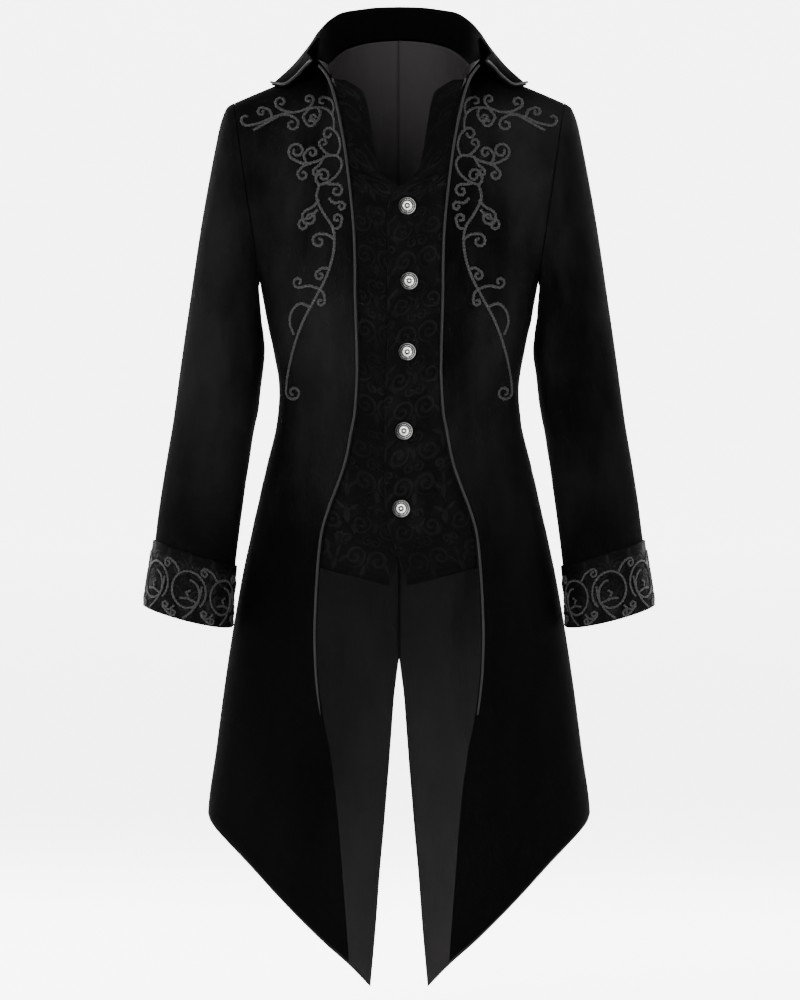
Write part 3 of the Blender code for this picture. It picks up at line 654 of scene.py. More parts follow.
# Dark and light tones of the other cloths and trims.
VELVET_TONES = ((0.0001, 0.0001, 0.0001), (0.0025, 0.0025, 0.0025))
SATIN_TONES = ((0.001, 0.0009, 0.00095), (0.0072, 0.0064, 0.0067))
SATIN_ROUGHNESS = 0.47
CORD_TONES = ((0.0016, 0.0016, 0.0016), (0.0058, 0.0057, 0.0057))
BRAID_TONES = ((0.0007, 0.0007, 0.0007), (0.0098, 0.0096, 0.0096))
SILVER_TONES = ((0.001, 0.001, 0.001), (0.5, 0.495, 0.48))
FLOOR_TONES = ((0.86, 0.86, 0.87), (0.9, 0.9, 0.9))

# Threads across a metre of cord, and strands of braid, as the scale of their pattern.
CORD_THREADS = 900.0
BRAID_THREADS = 75.0

# Each piece's cut, in metres and square metres: widest row, longest column, flat area, and how it
# is held. A left piece and its right one are cut alike. Sleeves and cuffs are cut all round.
SHEETS = {
    "front": (0.297, 1.137, 0.168, "hung"),
    "back": (0.362, 1.194, 0.254, "hung"),
    "lining": (0.36, 1.193, 0.25, "hung"),
    "vest": (0.182, 0.664, 0.087, "stretched"),
    "sleeve": (0.559, 0.636, 0.179, "hung"),
    "cuff": (0.344, 0.085, 0.0269, "stretched"),
    "collar": (0.561, 0.155, 0.048, "stretched"),
}

# Soft lamps all round: name, place, size and power.
LAMPS = (
    ("key", (-1.6, -3.0, 1.6), (1.8, 2.2), 320),
    ("fill", (2.2, -2.6, 0.5), (1.6, 2.4), 55),
    ("side_right", (-2.4, 0.5, 0.2), (1.0, 2.4), 45),
    ("side_left", (2.4, 0.5, 0.2), (1.0, 2.4), 45),
    ("rear_right", (-1.8, 2.8, 1.5), (1.6, 2.0), 240),
    ("rear_left", (1.9, 2.6, 0.6), (1.6, 2.2), 90),
    ("top", (0.0, 0.6, 3.2), (3.5, 3.5), 80),
)

# The pale bowl and the camera: metres, but the lens is in millimetres and its lift in degrees.
FLOOR = -1.19
RIM = 36.0
BEND = 9.0
CEILING = 26.0
HUB = 0.02
BEND_STEPS = 16
BOWL_SIDES = 96
GLOW = 3.0
AMBIENT = 0.5
LAMP_AIM = (0, 0, -0.5)
AIM = (0.0012, 0.0, -0.523)
DISTANCE = 12.0
ELEVATION = 1.0
LENS = 348.4


def column(columns, table, name):
    return np.array([row[columns.index(name)] for row in table], float)


def smooth(xs, ys, at):
    """Reads a smooth curve through a table's points. It never swings past them."""
    slope = np.diff(ys) / np.diff(xs)
    both = slope[1:] * slope[:-1]
    total = slope[1:] + slope[:-1]
    middle = np.where(both > 0, 2 * both / np.where(both > 0, total, 1), 0)
    tangent = np.concatenate([slope[:1], middle, slope[-1:]])
    at = np.clip(at, xs[0], xs[-1])
    i = np.clip(np.searchsorted(xs, at, side="right") - 1, 0, len(xs) - 2)
    step = xs[i + 1] - xs[i]
    t = (at - xs[i]) / step
    rise = ys[i + 1] - ys[i]
    start = step * tangent[i]
    end = step * tangent[i + 1]
    return ys[i] + t * (start + t * ((3 * rise - 2 * start - end) + t * (start + end - 2 * rise)))


def read(columns, table, name, at):
    return smooth(column(columns, table, columns[0]), column(columns, table, name), at)


def ease(low, high, at):
    """Rises smoothly from 0 at low to 1 at high."""
    t = np.clip((at - low) / (high - low), 0, 1)
    return t * t * (3 - 2 * t)


def points(x, y, z):
    return np.stack(np.broadcast_arrays(x, y, z), axis=-1)


def flute(angle, z):
    """How far the skirt's folds stand out, which grows towards the hem."""
    total = np.zeros(np.broadcast(angle, z).shape)
    for middle, width, depth in FLUTES:
        total = total + depth * np.exp(-(((np.degrees(angle) - middle) / width) ** 2))
    return total * ease(FLUTE_START, FLUTE_FULL, z)


def oval(angle, z):
    """The coat's outer face at an angle from centre front, up to the chest line."""
    width = read(BODY_COLUMNS, BODY, "half_width", z)
    front = read(BODY_COLUMNS, BODY, "front", z)
    back = read(BODY_COLUMNS, BODY, "back", z)
    depth = np.where(np.cos(angle) > 0, front, back) + flute(angle, z)
    power = 2 / read(BODY_COLUMNS, BODY, "squareness", z)
    return points(width * signed(np.sin(angle), power), -depth * signed(np.cos(angle), power), z)


def signed(value, power):
    """A power that keeps its value's sign."""
    return np.sign(value) * np.abs(value) ** power


def angle_of(x, z):
    width = read(BODY_COLUMNS, BODY, "half_width", z)
    power = read(BODY_COLUMNS, BODY, "squareness", z) / 2
    return np.arcsin(signed(np.clip(x / width, -1, 1), power))


def front_angle(across, z):
    """Angle of a front column: -1 is centre front, 0 the coat's edge and 1 the side seam."""
    edge_x = read(EDGE_COLUMNS, EDGE, "x", z)
    edge = angle_of(edge_x, z)
    inner = angle_of(edge_x * (1 + across), z)
    return np.where(across < 0, inner, edge + (np.pi / 2 - edge) * across)


def back_angle(across, z):
    """Angle of a back column: 0 is the side seam and 1 the centre seam or the vent."""
    edge = np.pi - angle_of(read(VENT_COLUMNS, VENT, "x", z), z)
    return np.pi / 2 + (edge - np.pi / 2) * across


def hem_height(across, angle):
    """Height at which a column meets the slanted hem."""
    z = np.full(np.shape(across), -1000.0)
    for _ in range(12):
        place = oval(angle(across, z), z)
        z = read(HEM_COLUMNS, HEM, "z", place[..., 0]) - HEM_TILT * place[..., 1]
    return z


def armhole(height, side):
    """The seam from the chest line up the side and round the armhole to the shoulder tip."""
    tip = np.array(SHOULDER_TIP)
    low = np.array(UNDERARM)
    t = np.clip((height - low[2]) / (tip[2] - low[2]), 0, 1)
    share = np.clip(t / ARMHOLE_END, 0, 1)
    y = side * (ARMHOLE_DEPTH * 2 * np.sqrt(share * (1 - share)) + TIP_GAP * t)
    chest_x = BODY[-1][1]
    seam = np.clip((height - CHEST) / (low[2] - CHEST), 0, 1)
    x = chest_x + (low[0] - chest_x) * seam + (tip[0] - low[0]) * t
    return points(x, y, height)


def shoulder(across, level, angle, top):
    """A point above the chest line, on columns that rise and round over to the panel's top."""
    foot = oval(angle(across, CHEST + 0 * across), CHEST + 0 * across)
    end = points(*[read(TOP_COLUMNS, top, name, across) for name in ("x", "y", "z")])
    bend = read(TOP_COLUMNS, top, "bend", across)
    rise = np.sin(np.clip(level - 2, 0, 1) * np.arcsin(bend)) / bend
    turn = (1 - np.sqrt(1 - (bend * rise) ** 2)) / (1 - np.sqrt(1 - bend**2))
    return points(
        foot[..., 0] + (end[..., 0] - foot[..., 0]) * rise,
        foot[..., 1] + (end[..., 1] - foot[..., 1]) * turn,
        CHEST + (end[..., 2] - CHEST) * rise,
    )


def panel(across, level, angle, top, side):
    """A point of the coat's outer face.

    Level runs from 0 at the hem through 1 at the hip and 2 at the chest to 3 at the top.
    Side is -1 for the front, whose armhole is at across 1, and 1 for the back, where it is 0.
    """
    across, level = np.broadcast_arrays(np.asarray(across, float), np.asarray(level, float))
    low_z = hem_height(across, angle)
    z = np.where(
        level < 1,
        low_z + (HIP - low_z) * np.clip(level, 0, 1),
        HIP + (CHEST - HIP) * np.clip(level - 1, 0, 1),
    )
    lower = oval(angle(across, z), z)

    side_across = 1.0 if side < 0 else 0.0
    tip = shoulder(np.full(level.shape, side_across), level, angle, top)
    seam = armhole(tip[..., 2], side)
    cut = np.zeros(level.shape)
    step = 0.4
    for _ in range(22):
        tried = shoulder(moved_in(0 * level, cut + step, side), level, angle, top)
        cut = np.where(side * tried[..., 1] < side * seam[..., 1], cut + step, cut)
        step = step / 2
    climbed = (seam[..., 2] - UNDERARM[2]) / (SHOULDER_TIP[2] - UNDERARM[2])
    cut = np.minimum(cut, ARMHOLE_CUT * np.sqrt(1 - np.clip(climbed, 0, 1)))
    inset = 1 - np.abs(across - side_across)
    near = np.clip(inset, 0, 1)
    moved = np.where(across < 0, across, moved_in(1 - near, cut, side))
    upper = shoulder(moved, level, angle, top)
    start = shoulder(moved_in(0 * level, cut, side), level, angle, top)
    upper = upper + (seam - start) * (near**2.5)[..., None]
    if side < 0:
        upper = upper + front_edge_shift(across, upper)
    upper[..., 1] = side * np.maximum(side * upper[..., 1], TIP_GAP * ease(2, 2.5, level))
    return np.where((level < 2)[..., None], lower, upper)


def moved_in(away, cut, side):
    """Place across of a column that lies away from the armhole, once the armhole is cut in."""
    place = cut + (1 - cut) * away
    return 1 - place if side < 0 else place


def front_edge_shift(across, upper):
    """Moves the upper front sideways, so that its edge follows the edge table."""
    z = upper[..., 2]
    chest_edge = read(EDGE_COLUMNS, EDGE, "x", CHEST)
    start = FRONT_TOP[1]
    plain = chest_edge + (start[1] - chest_edge) * (z - CHEST) / (start[3] - CHEST)
    edge_x = read(EDGE_COLUMNS, EDGE, "x", z)
    fading = (edge_x - plain) * np.clip(1 - across / 0.6, 0, 1) ** 2
    shift = np.where(across < 0, edge_x * (1 + across) - upper[..., 0], fading)
    return points(shift, 0 * shift, 0 * shift)


def front(across, level):
    return panel(across, level, front_angle, FRONT_TOP, -1)


def back(across, level):
    return panel(across, level, back_angle, BACK_TOP, 1)


def front_normal(across, level):
    return normals(front, across, level, (0, 1), (0, 3))


def normals(surface, a, b, a_range, b_range, step=2e-3):
    """Outward directions of a surface, from points a little to each side."""
    a, b = np.broadcast_arrays(np.asarray(a, float), np.asarray(b, float))
    a0, a1 = np.clip(a - step, *a_range), np.clip(a + step, *a_range)
    b0, b1 = np.clip(b - step, *b_range), np.clip(b + step, *b_range)
    cross = np.cross(surface(a1, b) - surface(a0, b), surface(a, b1) - surface(a, b0))
    return cross / np.linalg.norm(cross, axis=-1, keepdims=True)


def vertex_normals(grid):
    """Outward directions at a grid's corners, from the triangles that meet there."""
    corners = grid.reshape(-1, 3)
    faces = np.array(grid_faces(*grid.shape[:2], False))
    a, b, c = (corners[faces[:, k]] for k in range(3))
    flat = unit(np.cross(b - a, c - a))
    total = np.zeros_like(corners)
    for k in range(3):
        here, after, before = (corners[faces[:, (k + i) % 3]] for i in range(3))
        spread = np.arccos(np.clip(np.sum(unit(after - here) * unit(before - here), axis=-1), -1, 1))
        np.add.at(total, faces[:, k], flat * spread[:, None])
    return unit(total).reshape(grid.shape)


def front_heights(level):
    """Height of the front edge at a level."""
    return front(0.0, level)[..., 2]


def level_at(z):
    """Level of a height on the middle of the front."""
    if z < CHEST:
        return 1 + (z - HIP) / (CHEST - HIP)
    _, _, _, top_z, bend = FRONT_TOP[0]
    return 2 + np.arcsin(bend * (z - CHEST) / (top_z - CHEST)) / np.arcsin(bend)


def vest_levels():
    """Levels of a waistcoat front's rows above its hem, shared with the coat where they can be."""
    body = [level for level in BODY_LEVELS if front_heights(level) > VEST_HEM + VEST_HEM_ROW]
    upper = [level for level in UPPER_LEVELS if level < VEST_TOP_LEVEL]
    neck = [level_at(z) for z in VEST_NECK_ROWS]
    return np.array(sorted(body + upper + neck) + [VEST_TOP_LEVEL])


def vest_columns(lap, level):
    """A row's places across, from its free edge out to where it is sewn under the coat."""
    z = front_heights(level)
    free = read(VEST_EDGE_COLUMNS, VEST_EDGE, lap, z) / read(EDGE_COLUMNS, EDGE, "x", z) - 1
    return np.array([free * (1 - share) for share in VEST_SHARES] + list(VEST_ACROSS))


def vest_offset(across, x, lap):
    """Depth of the waistcoat's outer face, which sinks a little away from the coat's edge."""
    sunk = VEST_DEPTH + VEST_RECESS * ease(0.1, -0.35, across)
    if lap == "under":
        sunk = sunk + UNDER_LAP * (1 - ease(26, 52, x))
    return sunk


def vest_hem(lap):
    """Places across and levels of a waistcoat front's hem, which drops to a point."""
    across = vest_columns(lap, level_at(VEST_HEM))
    free = read(VEST_EDGE_COLUMNS, VEST_EDGE, lap, VEST_POINT)
    free = free / read(EDGE_COLUMNS, EDGE, "x", VEST_POINT) - 1
    shares = np.array(VEST_SHARES)
    across[: len(shares)] = free * (1 - shares)
    shares = np.concatenate([shares, np.ones(len(VEST_ACROSS))])
    return across, np.array([level_at(z) for z in VEST_POINT + (VEST_HEM - VEST_POINT) * shares])


def armhole_turns():
    """Angles round the armhole of the panels' corners, from the underarm up the front and back."""
    rise = np.sin((UPPER_LEVELS - 2) * ARM_BEND) / np.sin(ARM_BEND)
    height = CHEST + (SHOULDER_TIP[2] - CHEST) * rise
    share = np.clip((height - UNDERARM[2]) / (SHOULDER_TIP[2] - UNDERARM[2]), 0, 1)
    front_half = np.arccos(1 - 2 * share)
    return np.concatenate([front_half, 2 * np.pi - front_half[-2:0:-1]])


def sleeve(ring, turn):
    """A point of the sleeve's outer face. Turn runs from the underarm up over the front."""
    top_x, top_z, under_x, under_z, depth, middle_y, drop = (
        read(SLEEVE_COLUMNS, SLEEVE, name, ring) for name in SLEEVE_COLUMNS[1:]
    )
    x = (top_x + under_x) / 2 - (top_x - under_x) / 2 * np.cos(turn)
    z = (top_z + under_z) / 2 - (top_z - under_z) / 2 * np.cos(turn) - drop * np.sin(turn)
    y = middle_y - depth * np.sin(turn)
    place = points(x, y, z)
    middle = points((top_x + under_x) / 2, middle_y, (top_z + under_z) / 2)
    outward = place - middle
    outward = outward / np.linalg.norm(outward, axis=-1, keepdims=True)
    return place - outward * sleeve_fold(ring, turn)[..., None]


def sleeve_fold(ring, turn):
    total = np.zeros(np.broadcast(ring, turn).shape)
    for at_ring, at_turn, along, around, depth, lean in SLEEVE_FOLDS:
        aside = (turn - at_turn + np.pi) % (2 * np.pi) - np.pi
        forward = ring - at_ring - lean * aside
        total = total + depth * np.exp(-((forward / along) ** 2) - (aside / around) ** 2)
    return total


def unit(vectors):
    return vectors / np.linalg.norm(vectors, axis=-1, keepdims=True)


def collar_half():
    """The visible face of the collar's left half, from the stand's foot over to the fall's edge."""
    neck_front = np.array([u for u in FRONT_ACROSS if u <= FRONT_NECK])
    neck_back = np.array([w for w in BACK_ACROSS if w > BACK_NECK])
    along = np.concatenate(
        [
            COLLAR_RIDGE * neck_front / FRONT_NECK,
            COLLAR_RIDGE + (1 - COLLAR_RIDGE) * (neck_back - BACK_NECK) / (1 - BACK_NECK),
        ]
    )
    neck = np.concatenate([front(neck_front, TOP_LEVEL), back(neck_back, TOP_LEVEL)])
    names = COLLAR_COLUMNS[1:]
    values = dict(zip(names, (read(COLLAR_COLUMNS, COLLAR, name, along) for name in names)))
    fold = points(values["fold_x"], values["fold_y"], values["fold_z"])
    edge = points(values["edge_x"], values["edge_y"], values["edge_z"])
    ahead = np.gradient(fold, axis=0)
    flat = unit(points(ahead[:, 1], -ahead[:, 0], 0))
    foot = neck - flat * COAT_WALL + (0, 0, COLLAR_RISE)
    inner = fold - flat * FOLD_HALF - (0, 0, FOLD_FALL)
    outer = fold + flat * FOLD_HALF - (0, 0, FOLD_FALL)
    rows = [foot, (foot + inner) / 2, inner, fold, outer]
    for share in (0.3, 0.65):
        hollow = 4 * share * (1 - share) * values["hollow"]
        rows.append(outer + (edge - outer) * share - flat * hollow[:, None])
    rows.append(edge)
    half = np.array(rows)
    half[FALL_ROW:] = kept_clear(half[FALL_ROW:], COLLAR_WALL + COLLAR_CLEARANCE)
    half[:, -1, 0] = 0
    return half


def kept_clear(places, clearance):
    """Moves places out until each stands clear of the shoulders."""
    across, level = np.meshgrid(np.linspace(0, 1, 50), np.linspace(2.6, TOP_LEVEL, 40))
    sides = (front(across, level), back(across, level))
    skin = np.concatenate(sides).reshape(-1, 3)
    out = np.concatenate([vertex_normals(side) for side in sides]).reshape(-1, 3)
    flat = places.reshape(-1, 3)
    nearest = np.argmin(np.linalg.norm(flat[:, None] - skin[None], axis=-1), axis=1)
    gap = np.sum((flat - skin[nearest]) * out[nearest], axis=-1)
    lift = np.maximum(0, clearance - gap)[:, None] * out[nearest]
    return (flat + lift).reshape(places.shape)


def mirrored(half):
    """Both halves of a grid whose last column lies on the middle."""
    return np.concatenate([half * (-1, 1, 1), half[:, -2::-1]], axis=1)


def grid_faces(rows, columns, closed):
    """Triangles of a grid of points, with the same diagonal in every cell."""
    faces = []
    for i in range(rows - 1):
        for j in range(columns if closed else columns - 1):
            k = (j + 1) % columns
            a, b = i * columns + j, i * columns + k
            c, d = b + columns, a + columns
            faces += [(a, b, c), (a, c, d)]
    return faces


def collar_piping_route(half):
    """Along the edge of the collar's fall, from one peak round the back to the other."""
    edge, above = half[-1], half[-2]
    outward = vertex_normals(half)[-1]
    outward = outward * np.sign(np.sum(outward * (edge * (1, 1, 0)), axis=-1, keepdims=True))
    route = edge + unit(above - edge) * PIPING_RADIUS + outward * (PIPING_LIFT + PIPING_STAND_OFF)
    route[-1, 0] = 0
    return mirrored(route[None])[0]




def finer(values, parts):
    """Cuts every step of a row of values into equal parts."""
    values = np.asarray(values, float)
    return np.interp(np.arange((len(values) - 1) * parts + 1) / parts, np.arange(len(values)), values)


def crease_height(place, table, side):
    """How far the creases lift each place of a panel."""
    x, z = place[..., 0], place[..., 2]
    total = np.zeros(x.shape)
    for only, x0, z0, x1, z1, width, height in table:
        if only not in (0, side):
            continue
        length = math.hypot(x1 - x0, z1 - z0)
        ahead = ((x - x0) * (x1 - x0) + (z - z0) * (z1 - z0)) / length**2
        aside = ((x - x0) * (z1 - z0) - (z - z0) * (x1 - x0)) / length
        bow = 0.12 * length * np.sin(np.pi * np.clip(ahead, 0, 1))
        fade = ease(-0.15, 0.35, ahead) * (1 - ease(0.6, 1.15, ahead))
        total = total + height * fade * np.exp(-(((aside - bow) / width) ** 2))
    return total


def creased(grid, table, side, depth=0.0):
    """A panel with its creases, moved in by a depth."""
    return grid + vertex_normals(grid) * (crease_height(grid, table, side) - depth)[..., None]


def ring_normals(grid):
    """Outward directions of a grid that closes on itself."""
    wrapped = np.concatenate([grid[:, -1:], grid, grid[:, :1]], axis=1)
    return vertex_normals(wrapped)[:, 1:-1]


def run_lengths(grid, axis):
    """Lengths along a grid's rows or columns, in metres."""
    steps = np.linalg.norm(np.diff(grid, axis=axis), axis=-1) * METRES
    first = np.zeros_like(np.take(steps, [0], axis=axis))
    return np.cumsum(np.concatenate([first, steps], axis=axis), axis=axis)


def mesh_piece(name, corners, faces, looks, slots=None, uvs=None):
    """A mesh in millimetres, with its materials, one for each face where slots gives them."""
    mesh = bpy.data.meshes.new(name)
    mesh.from_pydata((np.asarray(corners) * METRES).tolist(), [], faces)
    for look in looks:
        mesh.materials.append(look)
    if slots is not None:
        mesh.polygons.foreach_set("material_index", slots)
    if uvs is not None:
        layer = mesh.uv_layers.new(name="cloth")
        index = np.empty(len(mesh.loops), np.int32)
        mesh.loops.foreach_get("vertex_index", index)
        layer.data.foreach_set("uv", np.asarray(uvs, np.float32)[index].reshape(-1))
    mesh.shade_smooth()
    made = bpy.data.objects.new(name, mesh)
    bpy.context.scene.collection.objects.link(made)
    return made


def quads(rows, columns, closed):
    """Quads of a grid, with the winding of its triangles."""
    wide = columns if closed else columns - 1
    return [
        (i * columns + j, i * columns + (j + 1) % columns,
         (i + 1) * columns + (j + 1) % columns, (i + 1) * columns + j)
        for i in range(rows - 1)
        for j in range(wide)
    ]


def cloth_piece(name, grid, wall, outer, inner, side=1, closed=False, turned=False):
    """A closed cloth wall: a grid, its inner face, and the edge between them."""
    rows, columns = grid.shape[:2]
    inward = -(ring_normals(grid) if closed else vertex_normals(grid))
    if turned:
        inward = -inward
    count = rows * columns
    corners = np.concatenate([grid.reshape(-1, 3), (grid + inward * wall).reshape(-1, 3)])
    skin = quads(rows, columns, closed)
    back = [tuple(k + count for k in face[::-1]) for face in skin]
    last = (rows - 1) * columns
    wide = columns if closed else columns - 1
    rim = []
    for j in range(wide):
        k = (j + 1) % columns
        rim.append((k, j, j + count, k + count))
        rim.append((last + j, last + k, last + k + count, last + j + count))
    if not closed:
        for i in range(rows - 1):
            a, b = i * columns, (i + 1) * columns
            rim.append((a, b, b + count, a + count))
            c, d = a + columns - 1, b + columns - 1
            rim.append((d, c, c + count, d + count))
    faces = skin + back + rim
    if (side < 0) != turned:
        faces = [face[::-1] for face in faces]
    slots = [0] * len(skin) + [1] * len(back) + [0] * len(rim)
    flat = np.stack([run_lengths(grid, 1), run_lengths(grid, 0)], axis=-1).reshape(-1, 2)
    uvs = np.concatenate([flat, flat])
    return mesh_piece(name, corners * (side, 1, 1), faces, (outer, inner), slots, uvs)


def tube_piece(name, route, section, look):
    """A cord: a closed section, given at each place as two widths, swept along a route.

    The route's rows are a place and its outward direction."""
    places, outward = route
    ahead = unit(np.gradient(places, axis=0))
    aside = unit(np.cross(ahead, outward))
    up = np.cross(aside, ahead)
    count = section.shape[1]
    rings = places[:, None] + aside[:, None] * section[..., :1] + up[:, None] * section[..., 1:]
    faces = quads(len(places), count, True)
    first = tuple(range(count - 1, -1, -1))
    last = tuple((len(places) - 1) * count + k for k in range(count))
    run = np.concatenate([[0], np.cumsum(np.linalg.norm(np.diff(places, axis=0), axis=-1))]) * METRES
    around = np.arange(count) / count
    uvs = np.stack(np.broadcast_arrays(run[:, None], around[None]), axis=-1).reshape(-1, 2)
    return mesh_piece(name, rings.reshape(-1, 3), faces + [first, last], (look,), None, uvs)


def spline(knots, step):
    """Evenly spaced points of a smooth curve through the knots."""
    knots = np.asarray(knots, float)
    padded = np.concatenate([[2 * knots[0] - knots[1]], knots, [2 * knots[-1] - knots[-2]]])
    pieces = []
    t = np.linspace(0, 1, 24, endpoint=False)[:, None]
    for a, b, c, d in zip(padded, padded[1:], padded[2:], padded[3:]):
        bend = 2 * b + (c - a) * t + (2 * a - 5 * b + 4 * c - d) * t**2
        pieces.append(0.5 * (bend + (3 * b - a - 3 * c + d) * t**3))
    line = np.concatenate(pieces + [knots[-1:]])
    run = np.concatenate([[0], np.cumsum(np.linalg.norm(np.diff(line, axis=0), axis=-1))])
    even = np.linspace(0, run[-1], max(3, round(run[-1] / step)))
    return np.stack([np.interp(even, run, line[:, k]) for k in range(line.shape[1])], axis=-1)


def stroke(knots, curl, step=CORD_STEP):
    """A stroke of scrollwork, which may wind up into a curl at its end."""
    line = spline(knots, step)
    if curl is None:
        return line
    radius, turns, hand = curl
    heading = math.atan2(*(line[-1] - line[-2])[::-1])
    total = 2 * math.pi * turns
    turned = 0.0
    places = [line[-1]]
    while turned < total:
        here = radius * (1 - (1 - CURL_CORE) * turned / total)
        turned += step / here
        heading += hand * step / here
        places.append(places[-1] + step * np.array((math.cos(heading), math.sin(heading))))
    return np.concatenate([line, places[1:]])


def on_surface(tree, line, side):
    """Lays a line drawn on the front on to a piece. Gives its places and outward directions."""
    places, outward = [], []
    for x, z in line:
        start = Vector((side * x * METRES, -1, z * METRES))
        hit, normal, _, _ = tree.ray_cast(start, Vector((0, 1, 0)))
        if hit is None:
            break
        places.append(np.array(hit) / METRES)
        outward.append(np.array(normal) * (1 if normal.y < 0 else -1))
    return np.array(places), eased(np.array(outward))


def eased(vectors, rounds=4):
    """Evens out directions along a line."""
    for _ in range(rounds):
        ends = np.concatenate([vectors[:1], vectors, vectors[-1:]])
        vectors = unit(ends[:-2] + 2 * vectors + ends[2:])
    return vectors


def braid_section(places, width, height, twist, depth):
    """Sections of a flat braid: an oval with a bead for every twist along it."""
    run = np.arange(places) * CORD_STEP
    angle = np.linspace(0, 2 * np.pi, 8, endpoint=False)
    bead = 1 + depth * np.sin(2 * np.pi * run / twist)[:, None]
    return np.stack([width * np.cos(angle) * bead, height * np.sin(angle) * bead], axis=-1)


def rope_section(places, step, radius, pitch, strands=3, depth=0.16):
    """Sections of a twisted cord."""
    angle = np.linspace(0, 2 * np.pi, 12, endpoint=False)
    run = np.arange(places)[:, None] * step
    lobe = np.abs(np.cos(strands / 2 * (angle[None] - 2 * np.pi * run / pitch)))
    reach = radius * (1 - depth + depth * lobe)
    return np.stack([reach * np.cos(angle), reach * np.sin(angle)], axis=-1)


def resampled(route, outward, step):
    """Evenly spaced points of a smooth curve through a route, with their directions."""
    line = spline(route, step)
    run = np.linspace(0, 1, len(line))
    marks = np.concatenate([[0], np.cumsum(np.linalg.norm(np.diff(route, axis=0), axis=-1))])
    marks = marks / marks[-1]
    return line, unit(np.stack([np.interp(run, marks, outward[:, k]) for k in range(3)], axis=-1))


def joined(name, parts):
    """Joins mesh pieces into one."""
    corners, faces, uvs, count = [], [], [], 0
    look = parts[0].data.materials[0]
    for part in parts:
        mesh = part.data
        corners += [tuple(v.co / METRES) for v in mesh.vertices]
        faces += [tuple(k + count for k in face.vertices) for face in mesh.polygons]
        spot = {}
        for loop, uv in zip(mesh.loops, mesh.uv_layers[0].data):
            spot[loop.vertex_index] = tuple(uv.uv)
        uvs += [spot[k] for k in range(len(mesh.vertices))]
        count += len(mesh.vertices)
        bpy.data.objects.remove(part)
    return mesh_piece(name, corners, faces, (look,), None, uvs)


class Nodes:
    """Builds a material's node tree from plain calls."""

    def __init__(self, name, roughness, specular=0.3, metallic=0.0, sheen=0.0, sheen_roughness=0.4):
        self.look = bpy.data.materials.new(name)
        self.look.use_nodes = True
        self.tree = self.look.node_tree
        self.shader = self.tree.nodes["Principled BSDF"]
        self.set("Roughness", roughness)
        self.set("Specular IOR Level", specular)
        self.set("Metallic", metallic)
        self.set("Sheen Weight", sheen)
        self.set("Sheen Roughness", sheen_roughness)

    def set(self, name, value):
        self.shader.inputs[name].default_value = value

    def feed(self, socket, value):
        if isinstance(value, bpy.types.NodeSocket):
            self.tree.links.new(value, socket)
        else:
            socket.default_value = value

    def put(self, kind, inputs=(), **settings):
        node = self.tree.nodes.new(kind)
        for name, value in settings.items():
            setattr(node, name, value)
        for name, value in dict(inputs).items():
            self.feed(node.inputs[name], value)
        return node

    def math(self, operation, *values):
        node = self.put("ShaderNodeMath", operation=operation)
        for socket, value in zip(node.inputs, values):
            self.feed(socket, value)
        return node.outputs[0]

    def soft(self, value, low, high):
        """Rises from 0 at low to 1 at high, or falls where high is the smaller."""
        span = {"Value": value, "From Min": low, "From Max": high}
        return self.put("ShaderNodeMapRange", span, interpolation_type="SMOOTHSTEP").outputs[0]

    def noise(self, where, scale, detail=3.0, rough=0.55):
        inputs = {"Vector": where, "Scale": scale, "Detail": detail, "Roughness": rough}
        return self.put("ShaderNodeTexNoise", inputs).outputs["Fac"]

    def stretched(self, where, scale):
        return self.put("ShaderNodeMapping", {"Vector": where, "Scale": scale}).outputs[0]

    def place(self):
        return self.put("ShaderNodeTexCoord").outputs["Object"]

    def cloth(self):
        return self.put("ShaderNodeUVMap", uv_map="cloth").outputs[0]

    def colour(self, share, dark, light):
        """Mixes two colours."""
        node = self.put("ShaderNodeMix", data_type="RGBA")
        self.feed(node.inputs[0], share)
        ends = [socket for socket in node.inputs if socket.type == "RGBA"]
        for socket, end in zip(ends, (dark, light)):
            socket.default_value = (*end, 1)
        return next(socket for socket in node.outputs if socket.type == "RGBA")

    def bump(self, height, distance, strength=1.0):
        inputs = {"Height": height, "Distance": distance, "Strength": strength}
        last = self.shader.inputs["Normal"]
        if last.is_linked:
            inputs["Normal"] = last.links[0].from_socket
        self.feed(last, self.put("ShaderNodeBump", inputs).outputs[0])

    def paint(self, socket):
        self.feed(self.shader.inputs["Base Color"], socket)

    def rough(self, share, low, high):
        span = {"Value": share, "To Min": low, "To Max": high}
        made = self.put("ShaderNodeMapRange", span).outputs[0]
        self.feed(self.shader.inputs["Roughness"], made)


